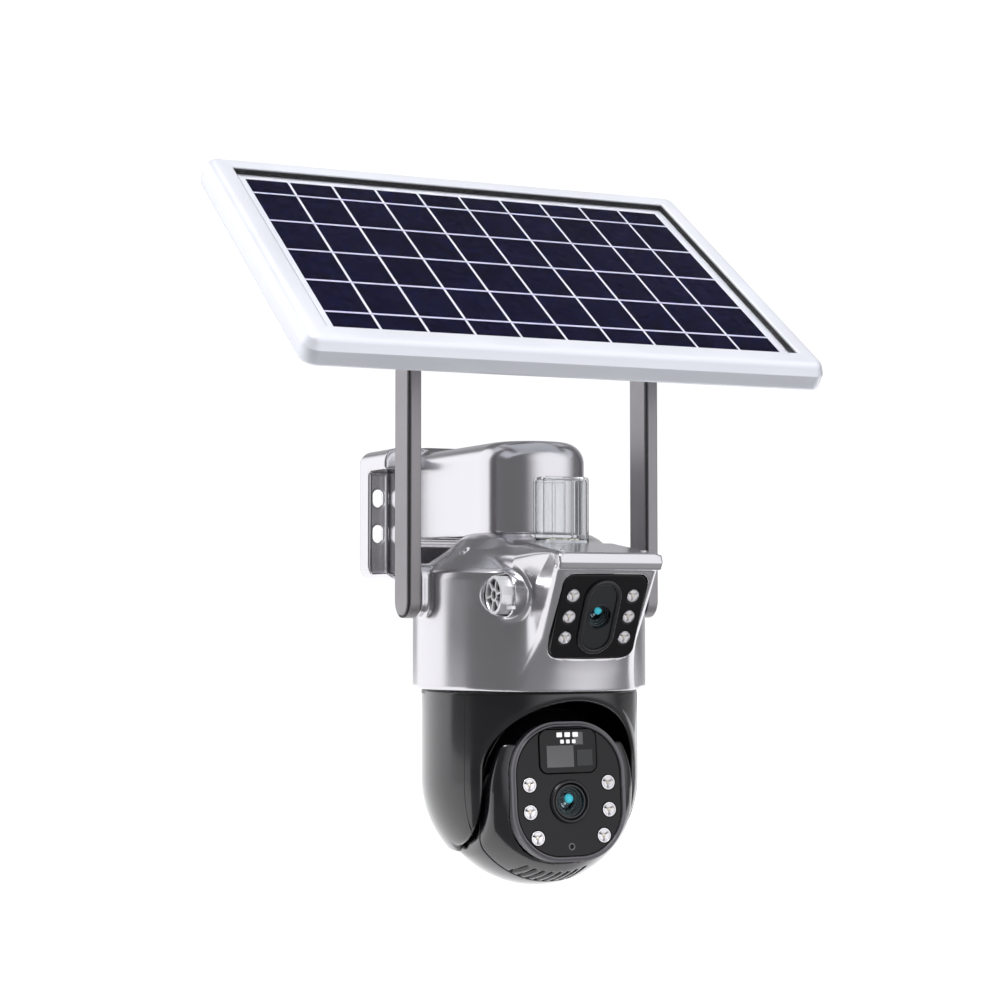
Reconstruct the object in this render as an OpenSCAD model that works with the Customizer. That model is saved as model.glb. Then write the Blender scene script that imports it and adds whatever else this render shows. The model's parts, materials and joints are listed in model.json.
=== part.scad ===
// Dual-lens solar security camera on a wall bracket.
// Row frame: origin at the centre of the wall base's back face, +Z up, the camera looks along -Y.
// Inner modules are drawn about the pan axis, with z = 0 at the seam between housing and yoke.

/* [Wall bracket] */
// Distance from the wall to the pan axis
reach = 138; // [136:1:145]
// Height of the wall base's centre above the housing seam
drop = 102; // [100:1:104]
// Width of the wall base
base_w = 100; // [98:1:104]
// Height of the wall base
base_h = 80; // [78:1:82]
// Depth of the wall base
base_d = 42; // [40:1:44]
// Distance between the two screw slots of one ear
slot_pitch = 22; // [20:1:24]
// Width of the bracket arm and of its round end
arm_w = 63; // [61:1:64]
// Height of the bracket arm's section
arm_h = 53; // [50:1:54]
// Radius along the bracket arm's top edges
arm_edge_r = 12; // [8:1:14]

/* [Upper housing] */
// Radius of the silver upper housing
shell_r = 66.2; // [66:0.1:66.4]
// Height of the housing up to its shoulder
shoulder_z = 68; // [67:1:69]
// Height of the neck's top, where the bracket arm sits
neck_z = 86.5; // [86:0.5:87]
// Wall thickness of the housing
wall = 3; // [2.5:0.5:3]
// Half width of the box that holds the fixed lens
box_half_w = 30.5; // [30:0.5:32]
// Tilt of the fixed lens's window towards the ground, in degrees
window_tilt = 24.4; // [22:0.2:26]
// Width of the fixed lens's window
window_w = 50.4; // [48:0.2:52]
// Height of the fixed lens's window
window_h = 49.1; // [47:0.1:50]

/* [Yoke and head] */
// Radius of the black yoke
yoke_r = 61.4; // [61:0.2:62]
// Half width of the yoke's opening
opening_half_w = 44.6; // [44.5:0.1:45]
// Radius of the head's ball
ball_r = 58; // [57.5:0.5:58]
// Half width between the ball's two flat cheeks
cheek_x = 43.6; // [43.4:0.1:43.8]
// Width of the head's face
face_w = 69.6; // [68:0.2:70]
// Height of the head's face
face_h = 76.4; // [75:0.2:77]
// Upward tilt of the face at rest, in degrees
face_tilt = 5.3; // [4:0.1:6]

/* [Solar panel] */
// Width of the panel
panel_w = 320; // [310:1:330]
// Length of the panel along its slope
panel_l = 227; // [215:1:235]
// Thickness of the panel's frame
panel_t = 17; // [16:1:17]
// Slope of the panel at rest, in degrees
panel_slope = 35.2; // [33:0.2:36]
// Width of the frame's face around the glass
frame_face = 15; // [12:1:16]
// Distance between the middles of the two solar arms
solar_arm_gap = 149.8; // [149.8:0.2:152]
// Width of a solar arm, front to back
solar_arm_w = 20; // [18:1:20]
// Thickness of a solar arm
solar_arm_t = 8; // [7:0.5:8]

/* [Hidden] */
$fn = 96;

eps = 0.05;           // overlap that makes a cut run past a face
run = 0.05;           // radial running clearance of a shaft
fit = 0.15;           // radial clearance of a fixed screw
silver = [0.70, 0.71, 0.73];
black = [0.06, 0.06, 0.07];
board_green = [0.05, 0.28, 0.14];

arm_z = neck_z;                    // underside of the bracket arm
base_z = drop - base_h / 2;        // underside of the wall base
ear_x = 39;                        // middle of an ear's slots
slot_w = 7;
slot_l = 11;
screw_ring_r = 22;                 // circle of the neck screws

window_c = [-86.4, 40.6];          // Y and Z of the window's middle
window_r = 6.5;
lip = 0.6;                         // the silver face stands proud of the window
visor_s = [27.5, 34.5];            // visor band, measured up the face
visor_out = 2.6;
top_z = 81;                        // flat top of the lens box
beacon_y = -41.6;
beacon_size = [29, 18, 37];
led_x = 17.9;
led_pitch = 12.3;
led_r = 3.6;

speaker_yz = [-54, 52.2];
speaker_x = -47.6;
speaker_r = 10.6;
pivot_z = 49.5;                     // solar arm pivot on the housing's side
hinge_z = 195;                     // panel hinge at the arm's top
boss_x = 70.6;
panel_c = [22, 249.5];             // Y and Z of the middle of the panel's top face
cell_margin = 7;
cell_cols = 10;
cell_gap = 1.6;
rail_x = 66;

dome_z = -50;                      // middle of the yoke's round lower end
yoke_end_z = -91;
head_c = [-7, -52.5];              // Y and Z of the tilt axis
crown_step = 11.5;                 // the head's hidden crown is this much smaller than its ball
crown_turn = -35;
face_c = [-51, -55.2];
face_r = 29;
face_border = 2.9;
lens_y = -5.5;
sensor_y = 22;
face_leds = [[24.1, 4.2], [24.1, -10.6], [20.2, -24.6]];
split_y = -28;                     // parting plane of the head's two shells

pan_teeth = 60;
tilt_teeth = 30;
pinion_teeth = 12;
gear_z = 5.2;
gear_t = 4.6;
pan_motor_x = (pan_teeth + pinion_teeth) / 2;
tilt_centres = (tilt_teeth + pinion_teeth) / 2;
motor_r = 14;
motor_t = 19;
hub_r = 12;
journal_r = 9;

port_z = 30;
pad_y = 66.8;
button_x = 13;

// Places children drawn about the pan axis into the row frame
module on_axis() translate([0, -reach, -drop]) children();
// Frame of the fixed window: x right, y up the face, z out of it
module at_window() on_axis() translate([0, window_c[0], window_c[1]]) rotate([90 + window_tilt, 0, 0]) children();
// Frame of the head's face
module at_face() on_axis() translate([0, face_c[0], face_c[1]]) rotate([90 - face_tilt, 0, 0]) children();
// Frame of the panel's top face: x right, y up the slope, z out of the glass
module at_panel() on_axis() translate([0, panel_c[0], panel_c[1]]) rotate([panel_slope, 0, 0]) children();
// Turns an outline drawn in Y and Z into a bar along +X
module along_x() rotate([90, 0, 90]) children();
module both_sides() for (s = [-1, 1]) scale([s, 1, 1]) children();
module mirror_pair() { children(); mirror([1, 0, 0]) children(); }

// Flat rectangle with round corners, made of true arcs
module round_rect(w, h, r) {
    square([w - 2 * r, h], center = true);
    square([w, h - 2 * r], center = true);
    for (x = [-1, 1], y = [-1, 1]) translate([x * (w / 2 - r), y * (h / 2 - r)]) circle(r);
}
// Upright slot outline
module obround(w, h) {
    square([w, h - w], center = true);
    for (y = [-1, 1]) translate([0, y * (h - w) / 2]) circle(w / 2);
}
module ring(ro, ri, h) difference() {
    cylinder(h = h, r = ro);
    translate([0, 0, -eps]) cylinder(h = h + 2 * eps, r = ri);
}
// Spur gear outline of module 1 with straight flanks
function tooth(n, k) = [for (p = [[-1.1, -1.09], [0.8, -0.4], [0.8, 0.4], [-1.1, 1.09]])
    let (r = n / 2 + p[0], a = 360 * k / n + p[1] / r * 180 / PI) [r * cos(a), r * sin(a)]];
module gear_outline(n) polygon([for (k = [0:n - 1]) each tooth(n, k)]);

// ---- wall bracket ----
// Half of the arm's section, x from the middle, y up from the arm's underside
module arm_half(w, h, r) {
    square([w, h - r]);
    square([w - r, h]);
    translate([w - r, h - r]) circle(r);
}
module arm_solid(inset, length) {
    w = arm_w / 2 - inset;
    h = arm_h - inset;
    r = arm_edge_r - inset;
    translate([0, length, 0]) rotate([90, 0, 0]) linear_extrude(length) mirror_pair() arm_half(w, h, r);
    rotate_extrude() arm_half(w, h, r);
}
module base_outline() translate([0, base_h / 2]) round_rect(base_w, base_h, 9);
module ear_pocket() {
    side = arm_w / 2 + 1;
    rim = 15;
    floor_t = 4;
    top_t = 13;
    back = reach - floor_t;
    translate([side, reach - base_d - 1, base_z + floor_t])
        cube([base_w / 2 - 3 - side, back - reach + base_d + 1, base_h - floor_t - top_t]);
    translate([side, reach - base_d - 1, base_z + floor_t])
        cube([base_w / 2 + 1 - side, base_d + 1 - rim, base_h - floor_t - top_t]);
}
module ear_slot(z) translate([ear_x, reach + 1, z]) rotate([90, 0, 0]) linear_extrude(8) obround(slot_w, slot_l);
module wall_bracket() color(silver) on_axis() difference() {
    union() {
        translate([0, reach, base_z]) rotate([90, 0, 0]) linear_extrude(base_d) base_outline();
        translate([0, 0, arm_z]) arm_solid(0, reach - base_d + 2);
    }
    mirror_pair() ear_pocket();
    mirror_pair() for (s = [-1, 1]) ear_slot(drop + s * slot_pitch / 2);
    difference() {
        translate([0, 0, arm_z - 1]) arm_solid(3.5, reach - base_d - 6);
        for (y = [34, 66]) translate([-arm_w / 2, y, arm_z - 2]) cube([arm_w, 3, arm_h]);
        for (a = [45:90:315]) rotate(a) translate([screw_ring_r, 0, arm_z]) cylinder(h = arm_h, r = 5);
    }
    for (a = [45:90:315]) rotate(a) translate([screw_ring_r, 0, arm_z - 1]) cylinder(h = 16, r = 2 + fit);
}
module bracket_screws() color("dimgray") on_axis() for (a = [45:90:315])
    rotate(a) translate([screw_ring_r, 0, neck_z]) {
        translate([0, 0, -wall - 2.6]) cylinder(h = 2.5, r = 3.8);
        translate([0, 0, -wall - 0.2]) cylinder(h = 16, r = 2);
    }

// ---- upper housing ----
// Point on the lens box's front, s up the face and out of it
function face_pt(s, out) = [
    window_c[0] - sin(window_tilt) * s - cos(window_tilt) * out,
    window_c[1] + cos(window_tilt) * s - sin(window_tilt) * out];
function foot_s(z) = (z - window_c[1]) / cos(window_tilt);
module box_outline(t) polygon(concat(
    [[-20, t], face_pt(foot_s(t), lip - t)],
    t > 0 ? [face_pt(visor_s[1], lip - t)]
          : [face_pt(visor_s[0], lip), face_pt(visor_s[0] + 1, visor_out), face_pt(visor_s[1], visor_out)],
    [face_pt(visor_s[1], lip - t) + [1.5 + t / 2, 1.5 - t / 2], [-54, top_z - t], [-20, top_z - t]]));
module shell_outline(t) polygon([
    [0, -t], [shell_r - t, -t], [shell_r - t, shoulder_z - 4 - t / 2],
    [shell_r - 3.5 - 0.75 * t, shoulder_z + 0.5 - 0.8 * t], [47 - 0.6 * t, 77.5 - 0.8 * t],
    [40 - 0.75 * t, 84 - 0.9 * t], [36 - t / 3, neck_z - t], [0, neck_z - t]]);
module side_boss() translate([shell_r - 6, 0, 0]) along_x() linear_extrude(boss_x - shell_r + 6) {
    translate([0, pivot_z]) circle(9);
    translate([-9, pivot_z]) square([18, 70 - pivot_z]);
}
module speaker_bore(r, x0, x1) translate([x0, speaker_yz[0], speaker_yz[1]]) along_x() cylinder(h = x1 - x0, r = r);
module upper_housing() color(silver) on_axis() difference() {
    union() {
        difference() {
            union() {
                rotate_extrude() shell_outline(0);
                translate([-box_half_w, 0, 0]) along_x() linear_extrude(2 * box_half_w) box_outline(0);
                mirror_pair() side_boss();
            }
            rotate_extrude() shell_outline(wall);
            translate([wall - box_half_w, 0, 0]) along_x() linear_extrude(2 * (box_half_w - wall)) box_outline(wall);
        }
        translate([0, 0, 5.6]) difference() {
            cylinder(h = 3.4, r = shell_r - wall + 0.5);
            translate([0, 0, -1]) cylinder(h = 6, r = 54);
            translate([-30, -70, -1]) cube([60, 60, 6]);
        }
        intersection() {
            speaker_bore(speaker_r + 1.4, speaker_x + 6.2, -30);
            translate([-60, -100, 5]) cube([30, 80, 80]);
        }
        translate([-20, 60.5, 20]) cube([40, pad_y - 60.5, 20]);
        translate([0, beacon_y, top_z - wall]) beacon_block(-1, wall);
    }
    translate([0, beacon_y, top_z]) beacon_block(-0.2, 12);
    window_cut();
    speaker_bore(speaker_r + 0.2, speaker_x - 3, -31);
    for (a = [45:90:315]) rotate(a) translate([screw_ring_r, 0, neck_z - 5]) cylinder(h = 8, r = 2 + fit);
    for (a = [0, 60, 120, 180]) rotate(a) translate([57.5, 0, 5]) cylinder(h = 6, r = 1.2 + fit);
    mirror_pair() translate([shell_r - wall - 2, 0, pivot_z]) along_x() cylinder(h = 16, r = 3 + fit);
    translate([button_x, pad_y + 1, port_z]) rotate([90, 0, 0]) cylinder(h = 8, r = 3 + run);
    translate([-9, 58, port_z - 3]) cube([10, 12, 6]);
}
module window_cut() translate([0, window_c[0], window_c[1]]) rotate([90 + window_tilt, 0, 0]) {
    translate([0, 0, -3]) linear_extrude(6) round_rect(window_w + 0.4, window_h + 0.4, window_r);
    translate([0, 0, -6]) linear_extrude(8) round_rect(window_w - 4, window_h - 4, window_r - 2);
}
module base_plate() color("gray") on_axis() difference() {
    translate([0, 0, 1]) cylinder(h = 3, r = shell_r - wall - 0.2);
    cylinder(h = 8, r = hub_r + 2.1);
    for (a = [0, 60, 120, 180]) rotate(a) translate([57.5, 0, 0]) cylinder(h = 8, r = 1.2 + fit);
}
module base_plate_screws() color("dimgray") on_axis() for (a = [0, 60, 120, 180])
    rotate(a) translate([57.5, 0, 0]) {
        translate([0, 0, -0.1]) cylinder(h = 1, r = 2.4);
        translate([0, 0, 0.8]) cylinder(h = 8, r = 1.2);
    }
module housing_seal() color("black") on_axis() translate([0, 0, 4.05]) ring(shell_r - wall - 0.2, 59.5, 1.5);

// ---- fixed lens ----
module led_places() for (x = [-led_x, led_x], k = [-1:1]) translate([x, k * led_pitch, 0]) children();
// Reflector cup with an open cone, mouth at z = 0
module reflector(r) difference() {
    translate([0, 0, -4]) cylinder(h = 4, r = r);
    translate([0, 0, -3.2]) cylinder(h = 3.3, r1 = 1.4, r2 = r - 0.4);
}
module fixed_window() color(black) at_window() difference() {
    translate([0, 0, -2.6]) linear_extrude(2.6) round_rect(window_w, window_h, window_r - 0.2);
    translate([0, 0, -3]) cylinder(h = 4, r = 8.2);
    translate([0, 0, -3]) led_places() cylinder(h = 4, r = led_r + 0.1);
}
module window_seal() color("black") at_window() translate([0, 0, -2.95]) linear_extrude(0.3) difference() {
    round_rect(window_w, window_h, window_r - 0.2);
    round_rect(window_w - 3.6, window_h - 3.6, window_r - 1.8);
}
module fixed_lens_bezel() color(black) at_window() difference() {
    linear_extrude(1.6) obround(21.7, 43.4);
    translate([0, 0, 0.5]) linear_extrude(2) obround(17.5, 39.2);
    translate([0, 0, -1]) cylinder(h = 4, r = 8.2);
}
module fixed_lens_barrel() color(black) at_window() difference() {
    translate([0, 0, -22]) cylinder(h = 23.6, r = 8);
    translate([0, 0, -6]) cylinder(h = 8, r = 6.5);
}
module fixed_lens_glass() color([0.1, 0.3, 0.4]) at_window() translate([0, 0, -2.4]) cylinder(h = 2.6, r = 6.4);
module fixed_led_reflectors() color("silver") at_window() led_places() reflector(led_r - 0.05);
module fixed_led_chips() color("lightyellow") at_window() led_places() translate([0, 0, -3.15]) cylinder(h = 0.9, r = 1.1);
module fixed_lens_board() color(board_green) at_window() difference() {
    translate([0, 0, -8]) linear_extrude(1.6) round_rect(44, 42, 3);
    translate([0, 0, -9]) cylinder(h = 4, r = 8.3);
}

// ---- warning light and loudspeaker ----
module beacon_block(inset, h) linear_extrude(h) round_rect(beacon_size[0] - 2 * inset, beacon_size[1] - 2 * inset, 3.5 - inset);
module beacon_cover() color([0.9, 0.93, 0.95, 0.4]) on_axis() translate([0, beacon_y, top_z]) difference() {
    beacon_block(0, beacon_size[2]);
    translate([0, 0, -1]) beacon_block(1.6, beacon_size[2] - 0.6);
}
module beacon_board() color("white") on_axis() translate([0, beacon_y, top_z]) beacon_block(1.9, 1.6);
module beacon_leds() color([0.9, 0.3, 0.3]) on_axis() for (x = [-7, 0, 7], y = [-3, 3])
    translate([x - 1.4, beacon_y + y - 1.4, top_z + 1.6]) cube([2.8, 2.8, 1]);
module speaker_driver() color(black) on_axis() speaker_bore(speaker_r - 1.5, speaker_x + 3, speaker_x + 11);
module speaker_grille() color("silver") on_axis() difference() {
    speaker_bore(speaker_r, speaker_x, speaker_x + 9);
    speaker_bore(speaker_r - 1.3, speaker_x + 2.2, speaker_x + 10);
    difference() {
        speaker_bore(9.2, speaker_x - 1, speaker_x + 4);
        translate([speaker_x, speaker_yz[0], speaker_yz[1]]) along_x() {
            rotate(30) cylinder(h = 3, r = 3.6, $fn = 6);
            for (k = [0:5]) rotate(60 * k) translate([0, -0.6, 0]) cube([11, 1.2, 3]);
        }
    }
    translate([speaker_x, speaker_yz[0], speaker_yz[1]]) along_x() rotate(30) translate([0, 0, -1]) cylinder(h = 5, r = 2.4, $fn = 6);
}

// ---- inside the housing ----
module battery_cells() color("steelblue") on_axis() for (a = [45, 75, 105, 135])
    rotate(a) translate([44, 0, gear_z]) {
        cylinder(h = 64, r = 9.2);
        translate([0, 0, 64]) cylinder(h = 1, r = 3);
    }
module main_board() color(board_green) on_axis() translate([-42, -24, 16]) {
    cube([84, 1.6, 48]);
    translate([28, -3, 14]) cube([22, 3, 18]);
    translate([60, -2, 26]) cube([12, 2, 12]);
}
// Geared stepper motor, its face at z = 0 and its body above
module motor() difference() {
    union() {
        cylinder(h = motor_t, r = motor_r);
        translate([0, 0, 0]) linear_extrude(1.2) round_rect(2 * motor_r + 12, 8, 3.9);
    }
    translate([0, 0, -1]) cylinder(h = 5, r = 2 + run);
    for (s = [-1, 1]) translate([s * (motor_r + 3), 0, -1]) cylinder(h = 4, r = 1.6);
}
module pinion(reach_up) {
    linear_extrude(gear_t) rotate(180 / pinion_teeth) gear_outline(pinion_teeth);
    translate([0, 0, gear_t - 0.5]) cylinder(h = reach_up + 0.5, r = 2);
}
module pan_motor() color("silver") on_axis() translate([pan_motor_x, 0, gear_z + gear_t + 2]) rotate(90) motor();
module pan_pinion() color("white") on_axis() translate([pan_motor_x, 0, gear_z]) pinion(4.5);
module pan_bush() color("tan") on_axis() translate([0, 0, 1]) ring(hub_r + 2, hub_r + run, 3);
module thrust_washer() color("white") on_axis() translate([0, 0, 4.05]) ring(20, hub_r + 0.4, 0.9);
module charge_port() color("silver") on_axis() translate([-8.5, 58.5, port_z - 2.6]) difference() {
    cube([9, 6, 5.2]);
    translate([1, 2, 1]) cube([7, 5, 3.2]);
}
module port_plug() color("black") on_axis() union() {
    translate([-4, pad_y + 2.4, port_z]) rotate([90, 0, 0]) linear_extrude(2.3) round_rect(16, 10, 3);
    translate([-7.2, 64.7, port_z - 1.3]) cube([6.4, 2.5, 2.6]);
}
module reset_button() color("black") on_axis() translate([button_x, 0, port_z]) rotate([-90, 0, 0]) {
    translate([0, 0, 59]) cylinder(h = pad_y + 1.2 - 59, r = 3);
    translate([0, 0, 58]) cylinder(h = 1.5, r = 4.4);
}

// ---- solar arms ----
arm_in = (solar_arm_gap - solar_arm_t) / 2;
arm_out = (solar_arm_gap + solar_arm_t) / 2;
module arm_outline() {
    translate([0, pivot_z]) circle(solar_arm_w / 2);
    translate([0, hinge_z]) circle(solar_arm_w / 2);
    translate([-solar_arm_w / 2, pivot_z]) square([solar_arm_w, hinge_z - pivot_z]);
}
groove_left = arm_out - 3;         // inner side of each arm's groove, which is near its -X edge
groove_right = arm_in + 1.4;
module solar_arm(groove_x) difference() {
    translate([arm_in, 0, 0]) along_x() linear_extrude(solar_arm_t) arm_outline();
    translate([arm_in - 1, 0, hinge_z]) along_x() cylinder(h = 10, r = 3 + run);
    translate([arm_in - 1, 0, pivot_z]) along_x() cylinder(h = 6.5, r = 3 + run);
    translate([groove_x, -solar_arm_w / 2 - 1, pivot_z + 6]) cube([1.6, 2, hinge_z - pivot_z - 12]);
}
module arm_trim(groove_x) translate([groove_x + 0.1, 0.3 - solar_arm_w / 2, pivot_z + 6.1])
    cube([1.4, 0.6, hinge_z - pivot_z - 12.2]);
module left_arm() color("gray") on_axis() mirror([1, 0, 0]) solar_arm(groove_left);
module right_arm() color("gray") on_axis() solar_arm(groove_right);
module arm_trims() color("black") on_axis() {
    mirror([1, 0, 0]) arm_trim(groove_left);
    arm_trim(groove_right);
}
// Bolts with their heads inside the housing, which end in a blind hole of the arm
module arm_pivot_bolts() color("silver") on_axis() mirror_pair() translate([0, 0, pivot_z]) {
    translate([60.3, 0, 0]) along_x() cylinder(h = arm_in + 5.3 - 60.3, r = 3);
    translate([60.3, 0, 0]) along_x() cylinder(h = 2.3, r = 5.5);
}

// ---- solar panel ----
module panel_frame() color([0.85, 0.87, 0.9]) at_panel() difference() {
    translate([0, 0, -panel_t]) linear_extrude(panel_t) round_rect(panel_w, panel_l, 9);
    translate([0, 0, -panel_t - 1]) linear_extrude(panel_t + 2)
        round_rect(panel_w - 2 * frame_face - 6, panel_l - 2 * frame_face - 6, 2);
    translate([0, 0, -7]) linear_extrude(8) round_rect(panel_w - 2 * frame_face, panel_l - 2 * frame_face, 2);
}
inner_w = panel_w - 2 * frame_face;
inner_l = panel_l - 2 * frame_face;
module panel_backsheet() color("white") at_panel() translate([0, 0, -6.9]) linear_extrude(1.6)
    round_rect(inner_w - 0.4, inner_l - 0.4, 1.8);
module panel_cells() color([0.05, 0.06, 0.16]) at_panel() {
    field = inner_w - 2 * cell_margin;
    pitch = (field + cell_gap) / cell_cols;
    for (k = [0:cell_cols - 1]) translate([k * pitch - field / 2, cell_margin - inner_l / 2, -5.25])
        cube([pitch - cell_gap, inner_l - 2 * cell_margin, 0.3]);
}
module panel_glass() color([0.6, 0.7, 0.8, 0.3]) at_panel() translate([0, 0, -4.9]) linear_extrude(2.8)
    round_rect(inner_w - 2.8, inner_l - 2.8, 1);
module panel_seal() color("black") at_panel() translate([0, 0, -4.9]) linear_extrude(3.2) difference() {
    round_rect(inner_w - 0.3, inner_l - 0.3, 1.8);
    round_rect(inner_w - 2.6, inner_l - 2.6, 1.1);
}
module panel_rails() color("gray") at_panel() both_sides()
    translate([rail_x - 8, -(inner_l - 6.6) / 2, -14]) difference() {
        cube([16, inner_l - 6.6, 7]);
        translate([2, -1, 2]) cube([12, inner_l, 6]);
    }
module junction_box() color("black") at_panel() {
    translate([0, 30, -18]) linear_extrude(11) round_rect(62, 42, 4);
    translate([0, 6, -12.5]) rotate([90, 0, 0]) cylinder(h = 8, r = 4, center = true);
}
lug_y = (0 - panel_c[0]) * cos(panel_slope) + (hinge_z - panel_c[1]) * sin(panel_slope);
lug_z = (hinge_z - panel_c[1]) * cos(panel_slope) - (0 - panel_c[0]) * sin(panel_slope);
module panel_brackets() color("gray") at_panel() mirror_pair() difference() {
    union() {
        translate([rail_x - 7, lug_y - 11, -17]) cube([arm_in - 0.5 - rail_x + 7, 22, 2.95]);
        translate([arm_in - 3.5, 0, 0]) along_x() linear_extrude(3) {
            translate([lug_y, lug_z]) circle(9);
            translate([lug_y - 9, lug_z]) square([18, -15 - lug_z]);
        }
    }
    translate([0, lug_y, lug_z]) along_x() cylinder(h = 90, r = 3 + fit);
    translate([rail_x - 3, lug_y, -20]) cylinder(h = 8, r = 1.6);
}
module panel_hinge_pins() color("silver") on_axis() mirror_pair() translate([0, 0, hinge_z]) {
    translate([arm_in - 7, 0, 0]) along_x() cylinder(h = arm_out + 7.4 - arm_in, r = 3);
    translate([arm_out + 0.2, 0, 0]) along_x() cylinder(h = 2.4, r = 6);
    translate([arm_in - 7.5, 0, 0]) along_x() cylinder(h = 3.6, r = 5, $fn = 6);
}

// ---- yoke ----
module yoke_solid(r) {
    translate([0, 0, dome_z]) cylinder(h = -dome_z, r = r);
    translate([0, 0, dome_z]) sphere(r);
}
module yoke_shell() color(black) on_axis() difference() {
    intersection() {
        yoke_solid(yoke_r);
        translate([-80, -80, yoke_end_z]) cube([160, 160, -yoke_end_z - 0.5]);
    }
    intersection() {
        yoke_solid(yoke_r - wall);
        translate([-opening_half_w, -80, -120]) cube([2 * opening_half_w, 160, 116]);
    }
    translate([0, -20, -44]) scale([1, 1, 37.2 / opening_half_w]) rotate([90, 0, 0]) cylinder(h = 60, r = opening_half_w);
    translate([-opening_half_w, -80, -120]) cube([2 * opening_half_w, 92, 76]);
    for (s = [-1, 1]) translate([s * 52.3, head_c[0], head_c[1]]) rotate([0, -90 * s, 0]) cylinder(h = 12, r = journal_r + 0.1);
    cylinder(h = 20, r = 7, center = true);
}
module pan_gear() color("white") on_axis() difference() {
    union() {
        translate([0, 0, -0.45]) cylinder(h = gear_z + 1, r = hub_r);
        translate([0, 0, gear_z]) linear_extrude(gear_t) gear_outline(pan_teeth);
    }
    translate([0, 0, -1]) cylinder(h = 20, r = 7);
}
module tilt_gear() color("white") on_axis() translate([0, head_c[0], head_c[1]]) along_x() {
    translate([0, 0, -52]) cylinder(h = 15, r = journal_r);
    translate([0, 0, -38]) linear_extrude(gear_t) gear_outline(tilt_teeth);
}
module tilt_pivot() color("white") on_axis() translate([0, head_c[0], head_c[1]]) along_x() {
    translate([0, 0, 37.4]) cylinder(h = 14.6, r = journal_r);
    translate([0, 0, 37.4]) cylinder(h = 2.9, r = 12);
}

// ---- head ----
// The ball's section below the crown, narrowed at the top to pass the yoke's arch.
module below_crown(w, top) polygon([
    [-w, top], [w, top], [w, top - 8], [w + 2.9, top - 15.5], [100, top - 15.5], [100, -200],
    [-100, -200], [-100, top - 15.5], [-w - 2.9, top - 15.5], [-w, top - 8]]);

module ball(t) translate([0, head_c[0], head_c[1]]) intersection() {
    union() {
        sphere(ball_r - crown_step - t);
        intersection() {
            sphere(ball_r - t);
            rotate([crown_turn + 90, 0, 0]) linear_extrude(200, center = true) below_crown(40.9 - 0.7 * t, -t);
        }
    }
    translate([t * 1.2 - cheek_x, -100, -100]) cube([2 * cheek_x - t * 2.4, 200, 200]);
}
module ball_shell() difference() {
    ball(0);
    ball(2.5);
    translate([0, face_c[0], face_c[1]]) rotate([90 - face_tilt, 0, 0]) {
        translate([-60, -60, -0.6]) cube([120, 120, 40]);
        translate([0, 0, -30]) linear_extrude(60) round_rect(face_w + 0.3, face_h + 0.3, face_r);
    }
    for (s = [-1, 1]) translate([s * 30, head_c[0], head_c[1]]) rotate([0, 90 * s, 0]) cylinder(h = 30, r = journal_r + run);
    for (k = [-3:3]) translate([k * 5, -32, -103]) rotate([-25, 25, 0]) cube([1.8, 10, 14], center = true);
}
module head_front_shell() color(black) on_axis() intersection() {
    ball_shell();
    translate([-100, split_y - 0.05 - 100, -200]) cube([200, 100, 300]);
}
module head_rear_shell() color(black) on_axis() intersection() {
    ball_shell();
    translate([-100, split_y + 0.05, -200]) cube([200, 100, 300]);
}
module face_outline(inset) round_rect(face_w - 2 * inset, face_h - 2 * inset, face_r - inset);
module face_rim() color([0.15, 0.15, 0.16]) at_face() translate([0, 0, -6]) linear_extrude(7.2) difference() {
    face_outline(0);
    face_outline(face_border);
}
module face_led_places() for (p = face_leds, s = [-1, 1]) translate([s * p[0], p[1], 0]) children();
module face_plate() color(black) at_face() difference() {
    translate([0, 0, -5]) linear_extrude(5) face_outline(face_border + 0.1);
    translate([0, 0, -6]) face_led_places() cylinder(h = 7, r = led_r);
    translate([0, lens_y, -6]) cylinder(h = 7, r = 9.8);
    translate([0, sensor_y, -1.8]) linear_extrude(3) round_rect(35.2, 24.2, 5);
    translate([0, sensor_y, -6]) linear_extrude(7) round_rect(28, 17, 3);
}
module sensor_window() color([0.12, 0.12, 0.14]) at_face() translate([0, sensor_y, -1.7]) linear_extrude(2.2) round_rect(35, 24, 4.9);
module pir_sensor() color("gray") at_face() translate([0, sensor_y - 2, -7]) {
    for (s = [-1, 1]) translate([s * 7, 0, 0]) cylinder(h = 5, r = 4);
}
module head_lens_ring() color(black) at_face() translate([0, lens_y, 0.05]) ring(12, 9.8, 1.9);
module head_lens_barrel() color(black) at_face() translate([0, lens_y, 0]) difference() {
    translate([0, 0, -27]) cylinder(h = 28, r = 9.6);
    translate([0, 0, -6]) cylinder(h = 8, r = 8.2);
}
module head_lens_glass() color([0.1, 0.3, 0.4]) at_face() translate([0, lens_y, -2.5]) cylinder(h = 2.9, r = 8.1);
module head_led_reflectors() color("silver") at_face() face_led_places() reflector(led_r - 0.1);
module head_led_chips() color("lightyellow") at_face() face_led_places() translate([0, 0, -3.15]) cylinder(h = 0.9, r = 1.1);
module head_board() color(board_green) at_face() difference() {
    translate([0, 0, -9]) linear_extrude(1.6) face_outline(7);
    translate([0, lens_y, -10]) cylinder(h = 4, r = 10);
}
// The tilt motor sits below the tilt axis, seven gear teeth round from straight back.
module below_axis() on_axis() translate([0, head_c[0], head_c[1]]) rotate([-84, 0, 0]) children();

module tilt_motor() color("silver") below_axis() translate([gear_t + 1.6 - 38, tilt_centres, 0])
    along_x() rotate(90) motor();
module tilt_pinion() color("white") below_axis() translate([-38, tilt_centres, 0]) along_x() pinion(4);

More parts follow.
